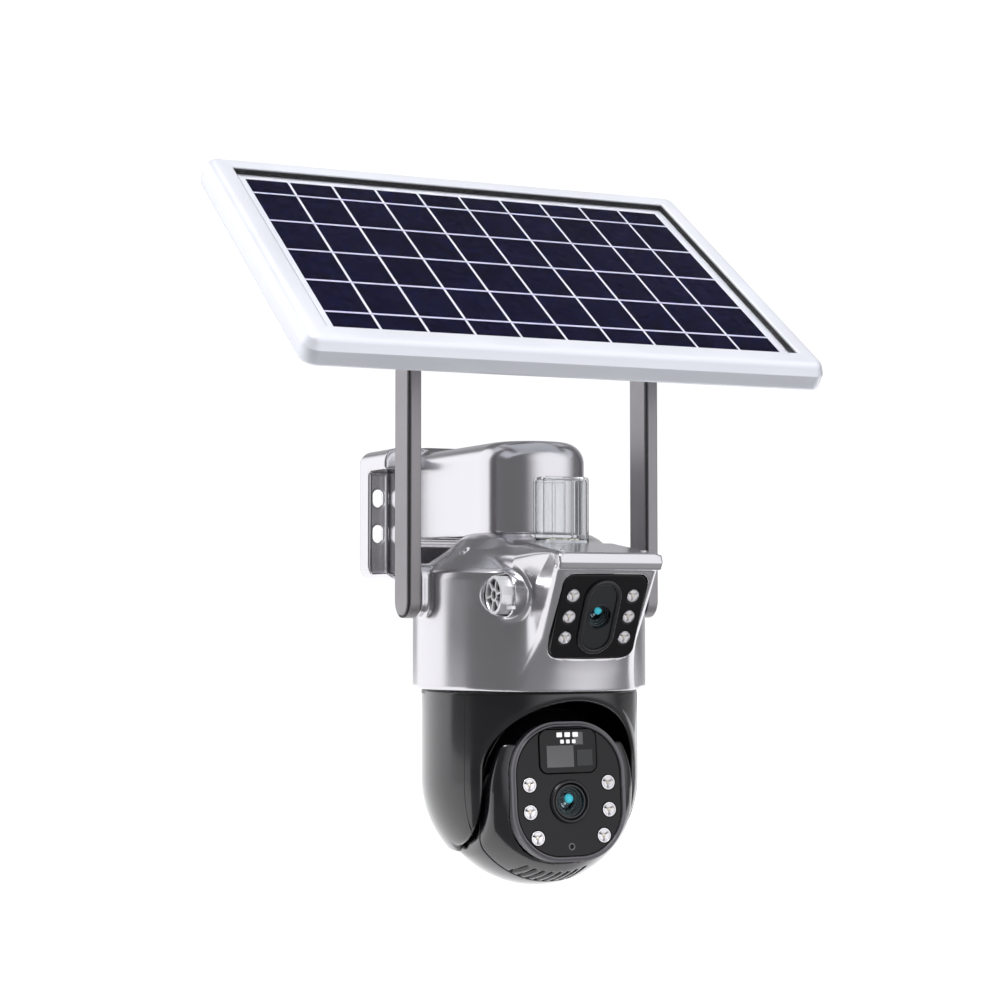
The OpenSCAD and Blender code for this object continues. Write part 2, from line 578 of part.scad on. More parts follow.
wall_bracket();
bracket_screws();
upper_housing();
base_plate();
base_plate_screws();
housing_seal();
fixed_window();
window_seal();
fixed_lens_bezel();
fixed_lens_barrel();
fixed_lens_glass();
fixed_led_reflectors();
fixed_led_chips();
fixed_lens_board();
beacon_cover();
beacon_board();
beacon_leds();
speaker_driver();
speaker_grille();
battery_cells();
main_board();
pan_motor();
pan_bush();
thrust_washer();
charge_port();
port_plug();
arm_pivot_bolts();
reset_button();
pan_pinion();
left_arm();
right_arm();
arm_trims();
panel_frame();
panel_backsheet();
panel_cells();
panel_glass();
panel_seal();
panel_rails();
junction_box();
panel_brackets();
panel_hinge_pins();
yoke_shell();
pan_gear();
tilt_gear();
tilt_pivot();
head_front_shell();
head_rear_shell();
face_plate();
face_rim();
sensor_window();
pir_sensor();
head_lens_ring();
head_lens_barrel();
head_lens_glass();
head_led_reflectors();
head_led_chips();
head_board();
tilt_motor();
tilt_pinion();
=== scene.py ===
"""Looks of the solar-powered security camera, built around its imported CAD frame.

Shapes are worked out in millimetres about the pan axis (x right, y towards the wall, z up, z = 0 at the seam
between the silver housing and the black yoke) and then put into the row frame in metres.
"""
import json
import math

import bpy
import numpy as np
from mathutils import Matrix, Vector


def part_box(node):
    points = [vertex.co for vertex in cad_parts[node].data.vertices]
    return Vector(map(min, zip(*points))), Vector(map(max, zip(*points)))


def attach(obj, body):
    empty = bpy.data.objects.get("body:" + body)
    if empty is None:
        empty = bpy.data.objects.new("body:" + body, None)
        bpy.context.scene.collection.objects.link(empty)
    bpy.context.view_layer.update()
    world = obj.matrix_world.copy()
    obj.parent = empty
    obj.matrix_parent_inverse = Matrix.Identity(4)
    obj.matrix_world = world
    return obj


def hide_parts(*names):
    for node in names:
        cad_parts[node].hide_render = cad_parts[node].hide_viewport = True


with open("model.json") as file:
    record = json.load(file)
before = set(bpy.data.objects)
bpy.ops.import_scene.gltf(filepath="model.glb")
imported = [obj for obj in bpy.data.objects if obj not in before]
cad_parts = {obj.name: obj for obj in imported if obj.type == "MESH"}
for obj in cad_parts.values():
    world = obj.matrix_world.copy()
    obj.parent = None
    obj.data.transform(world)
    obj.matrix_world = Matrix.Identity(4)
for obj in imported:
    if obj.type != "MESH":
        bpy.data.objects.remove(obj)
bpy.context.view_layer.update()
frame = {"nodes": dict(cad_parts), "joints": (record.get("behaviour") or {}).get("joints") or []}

# ---------------- driving sizes, in millimetres
JOINTS = {j["name"]: j for j in frame["joints"]}
AXIS = np.array(JOINTS["head_pan"]["pos_m"]) * 1000  # the pan axis at the seam, in the row frame
TILT_C = np.array(JOINTS["head_tilt"]["pos_m"]) * 1000 - AXIS
PIVOT_Z = JOINTS["solar_arm_swing"]["pos_m"][2] * 1000 - AXIS[2]
HINGE_Z = JOINTS["solar_panel_tilt"]["pos_m"][2] * 1000 - AXIS[2]


def box_mm(node):
    """Lowest and highest corner of a CAD node, in millimetres about the pan axis."""
    low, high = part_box(node)
    return np.array(low) * 1000 - AXIS, np.array(high) * 1000 - AXIS


def middle(node):
    low, high = box_mm(node)
    return (low + high) / 2


SHELL_R = 66.2
NECK_Z = box_mm("wall_bracket")[0][2] + 24.5
YOKE_R = 61.4
DOME_Z = -50.0
OPENING = 44.6
ARCH_Z = -44.0
BALL_R = 58.0
CROWN_R = 46.5
CHEEK = 43.6
WINDOW_TILT = math.radians(24.4)
FACE_TILT = math.radians(5.3)
PANEL_SLOPE = math.radians(35.2)
WINDOW_SIZE = (50.4, 49.1, 6.3)  # width, height, corner radius
FACE_SIZE = (69.6, 76.4, 29.0)
PANEL_SIZE = (320.0, 227.0, 9.0)
FRAME_FACE = 15.0
INNER_W, INNER_L = (v - 2 * FRAME_FACE for v in PANEL_SIZE[:2])
LED_R = 3.6
HEAD_LED_R = 4.0
FINE = 0.45  # grid step of the small flat plates
WALL = 3.0  # thickness of the housing and of the yoke
BALL_WALL = 2.5
EDGE = 1.6  # radius of the housing's outer edges
BOX_HALF = 30.5  # half width of the lens box
CHEEK_TOP = 40.9  # half width of the ball where its upper corners narrow
BALL_HOLE_R, YOKE_HOLE_R = 9.05, 9.1  # holes for the tilt pivots
ARCH_RISE = 37.2  # height of the yoke's arch above ARCH_Z
ARM_R = 31.5  # rounded end of the bracket's arm
WALL_Y = 138  # the wall's plane
SPEAKER_R = 10.6
COLLAR_R = 12.4  # inner ring that holds the loudspeaker
SCREW_XY = ((-47, -13.4), (47, -13.4))  # screws in the housing's shoulders


class Place:
    """A local frame about the pan axis: x right, tilted about x by angle."""

    def __init__(self, origin=(0, 0, 0), angle=0.0):
        c, s = math.cos(angle), math.sin(angle)
        self.origin = np.array(origin, float)
        self.turn = np.array([[1, 0, 0], [0, c, -s], [0, s, c]])

    def out(self, points):
        """Local points to millimetres about the pan axis."""
        return np.asarray(points, float) @ self.turn.T + self.origin


HOME = Place()
WINDOW = Place((0, 0, 0), math.pi / 2 + WINDOW_TILT)
WINDOW.origin = middle("fixed_window") + WINDOW.turn @ (0, 0, 1.3)
FACE = Place((0, 0, 0), math.pi / 2 - FACE_TILT)
FACE.origin = middle("face_rim") + FACE.turn @ (0, 0, 2.4)
PANEL = Place((0, 0, 0), PANEL_SLOPE)
PANEL.origin = middle("panel_frame") + PANEL.turn @ (0, 0, 8.5)


# ---------------- signed distances
def length(*parts):
    return np.sqrt(sum(q * q for q in parts))


def round_box(p, centre, half, r=0.0):
    q = [np.abs(p[i] - centre[i]) - (half[i] - r) for i in range(3)]
    inside = np.minimum(np.maximum(np.maximum(q[0], q[1]), q[2]), 0)
    return length(*(np.maximum(v, 0) for v in q)) + inside - r


def round_rect_2d(u, v, w, h, r):
    a, b = np.abs(u) - (w / 2 - r), np.abs(v) - (h / 2 - r)
    return length(np.maximum(a, 0), np.maximum(b, 0)) + np.minimum(np.maximum(a, b), 0) - r


def prism(flat, along, low, high, r=0.0):
    """A flat outline's distance swept between low and high, with edges of radius r."""
    a, b = flat + r, np.abs(along - (low + high) / 2) - ((high - low) / 2 - r)
    return length(np.maximum(a, 0), np.maximum(b, 0)) + np.minimum(np.maximum(a, b), 0) - r


def capsule_2d(u, v, v0, v1, r):
    """Upright slot outline from v0 to v1."""
    return length(u, v - np.clip(v, v0, v1)) - r


def polygon_2d(u, v, points):
    """Distance from a closed outline of straight sides."""
    d2, sign = None, 1.0
    n = len(points)
    for i in range(n):
        (ax, ay), (bx, by) = points[i], points[i - 1]
        ex, ey = bx - ax, by - ay
        wx, wy = u - ax, v - ay
        t = np.clip((wx * ex + wy * ey) / (ex * ex + ey * ey), 0, 1)
        dd = (wx - ex * t) ** 2 + (wy - ey * t) ** 2
        d2 = dd if d2 is None else np.minimum(d2, dd)
        c = (v >= ay).astype(np.int8) + (v < by) + (ex * wy > ey * wx)
        sign = sign * np.where((c == 3) | (c == 0), -1.0, 1.0)
    return sign * np.sqrt(d2)


def smooth_min(a, b, k):
    h = np.maximum(k - np.abs(a - b), 0) / k
    return np.minimum(a, b) - h * h * k * 0.25


def smooth_max(a, b, k):
    return -smooth_min(-a, -b, k)


def cut(a, b, k=0.0):
    return smooth_max(a, -b, k) if k else np.maximum(a, -b)


# ---------------- distance field to mesh
CORNERS = [(i, j, k) for i in (0, 1) for j in (0, 1) for k in (0, 1)]


def crossed_cells(inside, n):
    """Grid cells with some corners inside the shape and some outside."""
    count = np.zeros(n, np.int8)
    for i, j, k in CORNERS:
        count += inside[i:i + n[0], j:j + n[1], k:k + n[2]]
    return np.argwhere((count > 0) & (count < 8))


def cell_points(f, cells):
    """One point a cell, in cell units: the mean of the places where its edges cross the surface."""
    value = {c: f[tuple((cells + c).T)] for c in CORNERS}
    total, crossings = np.zeros((len(cells), 3)), np.zeros(len(cells))
    for a in CORNERS:
        for d in range(3):
            if a[d]:
                continue
            b = tuple(1 if i == d else a[i] for i in range(3))
            fa, fb = value[a], value[b]
            crossed = (fa < 0) != (fb < 0)
            t = np.where(crossed, fa / np.where(crossed, fa - fb, 1), 0)
            point = np.array(a, float) + np.eye(3)[d] * t[:, None]
            total += point * crossed[:, None]
            crossings += crossed
    return cells + total / crossings[:, None]


def cell_quads(inside, cells, n):
    """A quad round each grid edge that crosses the surface."""
    number = np.full(n, -1, np.int32)
    number[tuple(cells.T)] = np.arange(len(cells))
    quads = []
    for d in range(3):
        e, g = (d + 1) % 3, (d + 2) % 3
        ahead = np.roll(inside, -1, d)
        edge = inside != ahead
        edge[tuple(slice(-1, None) if i == d else slice(None) for i in range(3))] = False
        at = np.argwhere(edge)
        at = at[(at[:, e] > 0) & (at[:, g] > 0) & (at[:, e] < n[e]) & (at[:, g] < n[g])]
        ring = []
        for de, dg in ((-1, -1), (0, -1), (0, 0), (-1, 0)):
            cell = at.copy()
            cell[:, e] += de
            cell[:, g] += dg
            ring.append(number[tuple(cell.T)])
        q = np.stack(ring, 1)
        outward = inside[tuple(at.T)]
        quads.append(np.where(outward[:, None], q, q[:, ::-1]))
    return np.concatenate(quads)


def surface(field, low, high, step):
    """Vertices and quads of the field's zero surface between two corners."""
    low = np.asarray(low, float) - 2 * step
    high = np.asarray(high, float) + 2 * step
    ax = [np.arange(low[i], high[i] + step, step) for i in range(3)]
    grid = np.meshgrid(*ax, indexing="ij", sparse=True)
    f = np.broadcast_to(field(grid), [len(a) for a in ax]).astype(np.float32)
    inside = f < 0
    n = np.array(f.shape) - 1
    cells = crossed_cells(inside, n)
    verts = low + cell_points(f, cells) * step
    return settle(field, verts, step), cell_quads(inside, cells, n)


def settle(field, verts, step):
    """Moves vertices onto the zero surface along the field's slope."""
    reach = 0.04
    for _ in range(3):
        p = [verts[:, i] for i in range(3)]
        here = field(p)
        slope = []
        for i in range(3):
            q = list(p)
            q[i] = p[i] + reach
            slope.append((field(q) - here) / reach)
        slope = np.stack(slope, 1)
        size = np.maximum((slope ** 2).sum(1), 0.05)
        move = -(here / size)[:, None] * slope
        far = np.linalg.norm(move, axis=1, keepdims=True)
        verts = verts + move * np.minimum(1, 0.5 * step / np.maximum(far, 1e-9))
    return verts


# ---------------- pieces
def new_piece(name, verts, faces, body, material, replaces=(), place=HOME, smooth=True):
    """A mesh of local millimetre points that rides on a body."""
    points = (place.out(verts) + AXIS) / 1000
    mesh = bpy.data.meshes.new(name)
    mesh.from_pydata(points.tolist(), [], [list(map(int, f)) for f in faces])
    mesh.validate()
    mesh.update()
    piece = bpy.data.objects.new(name, mesh)
    bpy.context.scene.collection.objects.link(piece)
    mesh.materials.append(material)
    if smooth:
        mesh.polygons.foreach_set("use_smooth", [True] * len(mesh.polygons))
    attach(piece, body)
    if replaces:
        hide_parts(*replaces)
    return piece


def moulded(name, field, low, high, step, body, material, replaces=(), place=HOME):
    """A piece meshed from a distance field."""
    verts, faces = surface(field, low, high, step)
    return new_piece(name, verts, faces, body, material, replaces, place)


def crisp(piece, angle=35.0):
    """Keeps edges sharper than the angle as sharp edges."""
    with bpy.context.temp_override(object=piece, active_object=piece, selected_objects=[piece],
                                   selected_editable_objects=[piece]):
        bpy.ops.object.shade_smooth_by_angle(angle=math.radians(angle))
    return piece


class Build:
    """Collects vertices and faces of several simple shapes into one mesh."""

    def __init__(self):
        self.verts, self.faces = [], []

    def add(self, verts, faces):
        start = len(self.verts)
        self.verts += [tuple(v) for v in verts]
        self.faces += [[start + i for i in f] for f in faces]
        return self

    def loft(self, rings, close=False):
        """Joins rings of equally many points, with a lid on both ends unless closed."""
        n, m = len(rings[0]), len(rings)
        verts = [v for ring in rings for v in ring]
        faces = []
        for a in range(m if close else m - 1):
            b = (a + 1) % m
            for i in range(n):
                j = (i + 1) % n
                faces.append([a * n + i, a * n + j, b * n + j, b * n + i])
        if not close:
            faces.append(list(range(n))[::-1])
            faces.append([(m - 1) * n + i for i in range(n)])
        return self.add(verts, faces)

    def lathe(self, profile, centre=(0, 0), turns=64, close=False):
        """Turns a profile of (radius, height) about the local z axis."""
        angles = [2 * math.pi * i / turns for i in range(turns)]
        rings = [[(centre[0] + r * math.cos(a), centre[1] + r * math.sin(a), h) for a in angles]
                 for r, h in profile]
        return self.loft(rings, close)

    def box(self, low, high, bevel=0.3):
        """A box with small chamfers on its upright and level edges."""
        (x0, y0, z0), (x1, y1, z1) = low, high
        w, h, c = x1 - x0, y1 - y0, ((x0 + x1) / 2, (y0 + y1) / 2)
        rings = [rect_ring(w - 2 * i, h - 2 * i, max(bevel - i, 0.02) + 0.02, z, c, 2)
                 for i, z in ((bevel, z0), (0, z0 + bevel), (0, z1 - bevel), (bevel, z1))]
        return self.loft(rings)

    def piece(self, name, body, slot, material, replaces=(), place=HOME, angle=35.0):
        made = new_piece(name, self.verts, self.faces, body, material, replaces, place)
        return crisp(made, angle)


def rect_ring(w, h, r, z, centre=(0, 0), arc=8):
    """Points of a rectangle with round corners at height z, anticlockwise."""
    points = []
    for k, (sx, sy) in enumerate(((1, 1), (-1, 1), (-1, -1), (1, -1))):
        for i in range(arc + 1):
            a = math.pi / 2 * (k + i / arc)
            points.append((centre[0] + sx * (w / 2 - r) + r * math.cos(a),
                           centre[1] + sy * (h / 2 - r) + r * math.sin(a), z))
    return points


def arc_points(cx, cy, r, a0, a1, n=6):
    """Points of an arc between two angles in degrees."""
    return [(cx + r * math.cos(math.radians(a0 + (a1 - a0) * i / n)),
             cy + r * math.sin(math.radians(a0 + (a1 - a0) * i / n))) for i in range(n + 1)]


def rect_sweep(build, size, profile, close=True, arc=10, centre=(0, 0)):
    """Sweeps a profile of (outward offset, height) round a rectangle with round corners."""
    w, h, r = size
    rings = [rect_ring(w + 2 * o, h + 2 * o, max(r + o, 0.4), z, centre, arc) for o, z in profile]
    return build.loft(rings, close=close)


# ---------------- materials
def link_noise(nodes, links, coords, scale, detail=3.0):
    noise = nodes.new("ShaderNodeTexNoise")
    noise.inputs["Scale"].default_value = scale
    noise.inputs["Detail"].default_value = detail
    links.new(coords, noise.inputs["Vector"])
    return noise.outputs["Fac"]


def remap(nodes, links, source, low, high, start=0.35, end=0.65):
    """The source's range from start to end stretched to low to high."""
    node = nodes.new("ShaderNodeMapRange")
    for key, value in (("From Min", start), ("From Max", end), ("To Min", low), ("To Max", high)):
        node.inputs[key].default_value = value
    links.new(source, node.inputs["Value"])
    return node.outputs["Result"]


def plastic(name, color, roughness, metallic=0.0, speck=0.06, spread=0.06, grain=2500.0, bump=0.02,
            coat=0.0, coat_roughness=0.05, ior=1.5):
    """Moulded or painted surface: faint colour drift, uneven gloss and a fine grain."""
    material = bpy.data.materials.new(name)
    material.use_nodes = True
    nodes, links = material.node_tree.nodes, material.node_tree.links
    shader = nodes["Principled BSDF"]
    coords = nodes.new("ShaderNodeTexCoord").outputs["Object"]
    drift = link_noise(nodes, links, coords, 18.0)
    fine = link_noise(nodes, links, coords, grain, 2.0)
    mix = nodes.new("ShaderNodeMix")
    mix.data_type = "RGBA"
    low = [c * (1 - speck) for c in color] + [1]
    high = [min(1, c * (1 + speck)) for c in color] + [1]
    mix.inputs["A"].default_value, mix.inputs["B"].default_value = low, high
    links.new(drift, mix.inputs["Factor"])
    links.new(mix.outputs["Result"], shader.inputs["Base Color"])
    links.new(remap(nodes, links, drift, max(roughness - spread, 0.02), roughness + spread),
              shader.inputs["Roughness"])
    shader.inputs["Metallic"].default_value = metallic
    shader.inputs["IOR"].default_value = ior
    shader.inputs["Coat Weight"].default_value = coat
    shader.inputs["Coat Roughness"].default_value = coat_roughness
    if bump:
        relief = nodes.new("ShaderNodeBump")
        relief.inputs["Strength"].default_value = bump
        relief.inputs["Distance"].default_value = 0.0001
        links.new(fine, relief.inputs["Height"])
        links.new(relief.outputs["Normal"], shader.inputs["Normal"])
    return material


def clear(name, color, roughness, ior):
    """Clear glass or plastic with faint smears in its gloss."""
    material = plastic(name, color, roughness, speck=0.01, spread=0.015, bump=0.0, ior=ior)
    shader = material.node_tree.nodes["Principled BSDF"]
    shader.inputs["Transmission Weight"].default_value = 1.0
    return material


def glow(material, color, strength):
    """The material with a light of its own."""
    shader = material.node_tree.nodes["Principled BSDF"]
    shader.inputs["Emission Color"].default_value = (*color, 1)
    shader.inputs["Emission Strength"].default_value = strength
    return material


def solar_cell(name):
    """Polycrystalline silicon: navy crystals of slightly different tint and gloss."""
    material = plastic(name, (0.006, 0.008, 0.03), 0.3, bump=0.0, ior=1.08)
    nodes, links = material.node_tree.nodes, material.node_tree.links
    shader = nodes["Principled BSDF"]
    coords = nodes["Texture Coordinate"].outputs["Object"]
    crystal = nodes.new("ShaderNodeTexVoronoi")
    crystal.inputs["Scale"].default_value = 260.0
    links.new(coords, crystal.inputs["Vector"])
    split = nodes.new("ShaderNodeSeparateColor")
    links.new(crystal.outputs["Color"], split.inputs["Color"])
    ramp = nodes.new("ShaderNodeValToRGB")
    ramp.color_ramp.elements[0].color = (0.0028, 0.0032, 0.013, 1)
    ramp.color_ramp.elements[1].color = (0.0055, 0.0065, 0.030, 1)
    middle_tint = ramp.color_ramp.elements.new(0.5)
    middle_tint.color = (0.0050, 0.0045, 0.019, 1)
    links.new(split.outputs["Red"], ramp.inputs["Fac"])
    links.new(ramp.outputs["Color"], shader.inputs["Base Color"])
    links.new(remap(nodes, links, split.outputs["Green"], 0.3, 0.5, 0, 1), shader.inputs["Roughness"])
    return material


SILVER = plastic("silver_paint", (0.62, 0.61, 0.63), 0.21, metallic=1.0, speck=0.02, spread=0.02,
                 grain=5200, bump=0.04)
BRIGHT = plastic("bright_silver", (0.80, 0.80, 0.81), 0.3, metallic=0.6, speck=0.03, bump=0.05)
BLACK = plastic("black_gloss", (0.006, 0.0055, 0.007), 0.2, spread=0.03, bump=0.02, coat=0.7)
PIANO = plastic("black_window", (0.007, 0.006, 0.007), 0.07, spread=0.02, bump=0.0, ior=1.36)
SATIN = plastic("black_satin", (0.014, 0.014, 0.016), 0.3, bump=0.05)
# Grey paint of the face border, made lighter so that it also gives the painted highlight along the border's
# ridge.
RIM_GREY_AND_HIGHLIGHT = plastic("rim_grey_and_painted_highlight", (0.13, 0.125, 0.135), 0.3, metallic=0.3, bump=0.02)
SOOT = plastic("black_matte", (0.006, 0.006, 0.006), 0.6, bump=0.1)
ARM = plastic("arm_paint", (0.29, 0.275, 0.285), 0.34, metallic=0.35, bump=0.03)
GROOVE = plastic("groove_black", (0.01, 0.01, 0.01), 0.5, bump=0.05)
ANODISED = plastic("frame_silver", (0.78, 0.80, 0.85), 0.36, metallic=0.3, speck=0.008, grain=900,
                   bump=0.01)
BACKSHEET = plastic("backsheet", (0.80, 0.82, 0.86), 0.45, speck=0.02, bump=0.03)
BUSBAR = plastic("busbar", (0.72, 0.73, 0.84), 0.4, speck=0.04, bump=0.03)
CELL = solar_cell("solar_cell")
PANEL_GLASS = clear("panel_glass", (0.98, 0.98, 1.0), 0.05, ior=1.05)
CLEAR = clear("beacon_clear", (0.97, 0.98, 0.98), 0.05, ior=1.22)
GLASS = clear("lens_glass", (0.8, 0.92, 0.95), 0.0, ior=1.1)
TINTED = plastic("tinted_cover", (0.018, 0.020, 0.021), 0.2, spread=0.02, bump=0.0)
# Painted glint: a glowing cyan colour for the small dome inside each lens, standing in for the cyan reflection
# on its glass.
PAINTED_CYAN_GLINT = glow(plastic("painted_lens_glint", (0.08, 0.58, 0.66), 0.3, bump=0.0), (0.1, 0.75, 0.9), 0.35)
PUPIL = plastic("lens_pupil", (0.002, 0.004, 0.008), 0.05, bump=0.0)
MIRROR = plastic("reflector", (0.88, 0.87, 0.89), 0.16, metallic=1.0, speck=0.02, bump=0.0)
PETAL = plastic("lamp_lens", (0.93, 0.91, 0.93), 0.15, speck=0.02, bump=0.0, coat=0.5)
FLOOD = glow(plastic("flood_lens", (0.9, 0.9, 0.9), 0.3, bump=0.0), (1, 0.97, 1), 0.5)
CHIP = plastic("lamp_chip", (0.85, 0.80, 0.66), 0.3, bump=0.0)
STEEL = plastic("steel", (0.60, 0.60, 0.62), 0.28, metallic=1.0, bump=0.04)
ZINC = plastic("motor_can", (0.55, 0.55, 0.57), 0.35, metallic=1.0, bump=0.05)
NYLON = plastic("nylon", (0.78, 0.78, 0.74), 0.45, bump=0.05)
RUBBER = plastic("rubber", (0.015, 0.015, 0.015), 0.6, bump=0.12)
BOARD = plastic("circuit_board", (0.02, 0.12, 0.05), 0.35, bump=0.05)
WRAP = plastic("cell_wrap", (0.04, 0.14, 0.30), 0.35, bump=0.03)
SENSOR = plastic("sensor_grey", (0.13, 0.13, 0.135), 0.35, bump=0.02)


# ---------------- upper housing
def face_yz(s, out):
    """Y and Z of a point on the lens box's front, s up the face and out of it."""
    return (WINDOW.origin[1] - math.sin(WINDOW_TILT) * s - math.cos(WINDOW_TILT) * out,
            WINDOW.origin[2] + math.cos(WINDOW_TILT) * s - math.sin(WINDOW_TILT) * out)


def window_local(p):
    """Coordinates in the window's frame: x, up the face, out of it."""
    y, z = p[1] - WINDOW.origin[1], p[2] - WINDOW.origin[2]
    s, c = math.sin(WINDOW_TILT), math.cos(WINDOW_TILT)
    return p[0], -s * y + c * z, -c * y - s * z


SPEAKER = middle("speaker_grille")
BEACON = middle("beacon_cover")


def round_body(p):
    """Round body with its shoulder and neck."""
    x, y, z = p
    r = EDGE
    return polygon_2d(length(x, y), z, [
        (-30, r), (SHELL_R - r, r), (SHELL_R - r, 61.3), (64.15, 63.8), (62.7, 65.4), (59.4, 67.6),
        (46.1, 76.2), (39.2, 82.6), (35.4, NECK_Z - r), (-30, NECK_Z - r)]) - r


def lens_box(p, rise):
    """Box behind the window, softer at its foot, with sloped flanks, shoulders and underside."""
    x, y, z = p
    r, ax = EDGE, np.abs(x)
    foot = (-20 - WINDOW.origin[2]) / math.cos(WINDOW_TILT)
    outline = polygon_2d(y, z, [
        (-15, -20), face_yz(foot, 0.6 - r), face_yz(33.4, 0.6 - r), face_yz(35.0, -1.6),
        (-54, 81 - r), (-15, 81 - r)]) - r
    flank = 0.95 * (ax - BOX_HALF) - 0.2 * (np.minimum(y, -56) + 58) - 0.23 * (z - 47.5)
    box = smooth_max(outline, np.minimum(ax - BOX_HALF, flank), 15.0 - 11.0 * rise)
    cone = 0.83 * (length(x, y) - SHELL_R - 0.8 - 0.68 * z)
    box = smooth_max(box, cone, 9.0)
    shoulder = 0.70 * (ax - 30) - 0.078 * (y + 97) + 0.708 * (z - 74)
    under = 0.70 * (length(x, y) - SHELL_R) - 0.714 * (z - 1.5)
    return smooth_max(smooth_max(smooth_max(box, shoulder, 2.5), under, 3.0), -z, 2.0)


def brow(p):
    """Raised band along the top of the lens box's front."""
    x, y, z = p
    band = polygon_2d(y, z, [
        face_yz(28.8, -3), face_yz(28.8, 2.2 - 0.8), face_yz(32.6, 2.2 - 0.8),
        face_yz(35.0, -1.0), face_yz(33, -6)]) - 0.8
    return prism(band, x, -31.0, 31.0, 1.2)


def housing_outer(p):
    """The housing without its cavity: body, lens box, arm bosses, loudspeaker collar and rear pad."""
    x, y, z = p
    rise = np.clip(z / 72, 0, 1)
    shape = np.maximum(smooth_min(round_body(p), lens_box(p, rise), 21.0 - 15.0 * rise), -z)
    shape = smooth_min(shape, brow(p), 1.0)
    boss = prism(capsule_2d(y, z, PIVOT_Z, 61, 9.0), np.abs(x), 50, 70.6, 1.0)
    shape = smooth_min(shape, boss, 2.0)
    collar = prism(length(y - SPEAKER[1], z - SPEAKER[2]) - 11.2, x, -40.0, -20, EDGE)
    shape = smooth_min(shape, collar, 5.0)
    pad = round_box(p, (0, 58.8, 30), (20, 8, 10), 1.2)
    return smooth_min(shape, pad, 1.5)


def housing(p):
    """The housing as moulded: hollow, with its bores, window recess, light seat and screw dimples."""
    x, y, z = p
    outer = housing_outer(p)
    shape = np.maximum(outer, -(outer + WALL))
    around = length(y - SPEAKER[1], z - SPEAKER[2])
    shape = np.minimum(shape, prism(around - COLLAR_R, x, -40.5, -31, 0.3))
    shape = cut(shape, prism(around - SPEAKER_R - 0.6, x, -80, -32.5, 0.3), 0.7)
    shape = cut(shape, prism(length(x, y) - SHELL_R + 3.15, z, -10, 5.5))
    u, v, w = window_local(p)
    width, height, r = WINDOW_SIZE
    recess = prism(round_rect_2d(u, v, width + 0.7, height + 0.7, r), w, -3.0, 9)
    shape = cut(shape, recess, 0.7)
    shape = cut(shape, prism(round_rect_2d(u, v, 46, 44, 5), w, -9, 2))
    seat = round_box(p, (0, BEACON[1], 79.5), (15.5, 10, 1.5), 0.4)
    well = round_box(p, (0, BEACON[1], 91), (14.8, 9.3, 10), 0.3)
    shape = cut(np.minimum(shape, seat), well, 0.5)
    for sx, sy in SCREW_XY:
        shape = cut(shape, length(x - sx, y - sy, z - 78.6) - 3.0, 0.8)
    return shape


def make_housing():
    low, high = box_mm("upper_housing")
    moulded("housing_shell", housing, low, high, 0.75, "housing", SILVER, ("upper_housing",))
    build = Build()
    head = [(2.1, -1.5), (2.1, 0.3), (1.9, 0.9), (1.2, 1.25), (0.05, 1.3)]
    for centre in SCREW_XY:
        build.lathe([(r, h + 75.7) for r, h in head], centre, 20)
    for x in (-24.5, 24.5):
        build.lathe([(r, h + 75.1) for r, h in head], (x, -91.5), 20)
    build.piece("housing_top_screws", "housing", "steel", STEEL)


# ---------------- wall bracket
def bracket_arm(p, inset):
    """Arm with its rounded end over the housing, or its inside for a wall of that thickness."""
    x, y, z = p
    flat = length(x, y - np.clip(y, 0, 200)) - (ARM_R - inset)
    tall = prism(flat, z, NECK_Z - 60, 139.5 - inset, 12.0 - inset)
    return np.maximum(tall, y - 130)


def bracket_hollow(p):
    """Inside of the arm, without its ribs and screw posts."""
    x, y, z = p
    ribs = np.minimum(np.abs(y - 35.5), np.abs(y - 67.5)) - 1.5
    hollow = np.maximum(np.maximum(bracket_arm(p, 3.5), y - 92), -ribs)
    posts = None
    for a in (45, 135, 225, 315):
        post = length(x - 22 * math.cos(math.radians(a)), y - 22 * math.sin(math.radians(a))) - 5
        posts = post if posts is None else np.minimum(posts, post)
    return np.maximum(hollow, -posts)


def bracket(p):
    """Wall base with its side pockets and screw slots, and the hollow arm."""
    x, y, z = p
    base_low, base_high = box_mm("wall_bracket")
    z0, z1 = base_low[2], base_high[2]
    depth = 42.0
    outline = round_rect_2d(x, z - (z0 + z1) / 2, base_high[0] - base_low[0], z1 - z0, 9.0)
    base = np.maximum(prism(outline, y, WALL_Y - depth, 150, 1.8), y - WALL_Y)
    arm = smooth_max(bracket_arm(p, 0), NECK_Z - z, 1.4)
    shape = smooth_min(base, arm, 7.0)
    shape = np.maximum(shape, y - WALL_Y)
    shape = cut(shape, bracket_hollow(p), 0.8)
    side = np.abs(x)
    deep = round_box((side, y, z), (41.5 - 1.6, 134 - 30, z0 + 4 + 31.5), (7.4, 30, 31.5), 2.0)
    open_side = round_box((side, y, z), (50, WALL_Y - 15 - 30, z0 + 4 + 31.5), (17.5, 30, 31.5), 2.0)
    shape = cut(shape, smooth_min(deep, open_side, 1.0), 1.0)
    for dz in (-11, 11):
        slot = capsule_2d(side - 39, z - (z0 + z1) / 2 - dz, -2, 2, 3.5)
        shape = cut(shape, slot, 0.8)
    return shape


def make_bracket():
    low, high = box_mm("wall_bracket")
    moulded("bracket_body", bracket, low, high, 0.8, "housing", SILVER, ("wall_bracket",))


# ---------------- yoke
def yoke_round(p, r):
    """Cylinder that ends in a dome below."""
    x, y, z = p
    return length(x, y, np.minimum(z - DOME_Z, 0)) - r


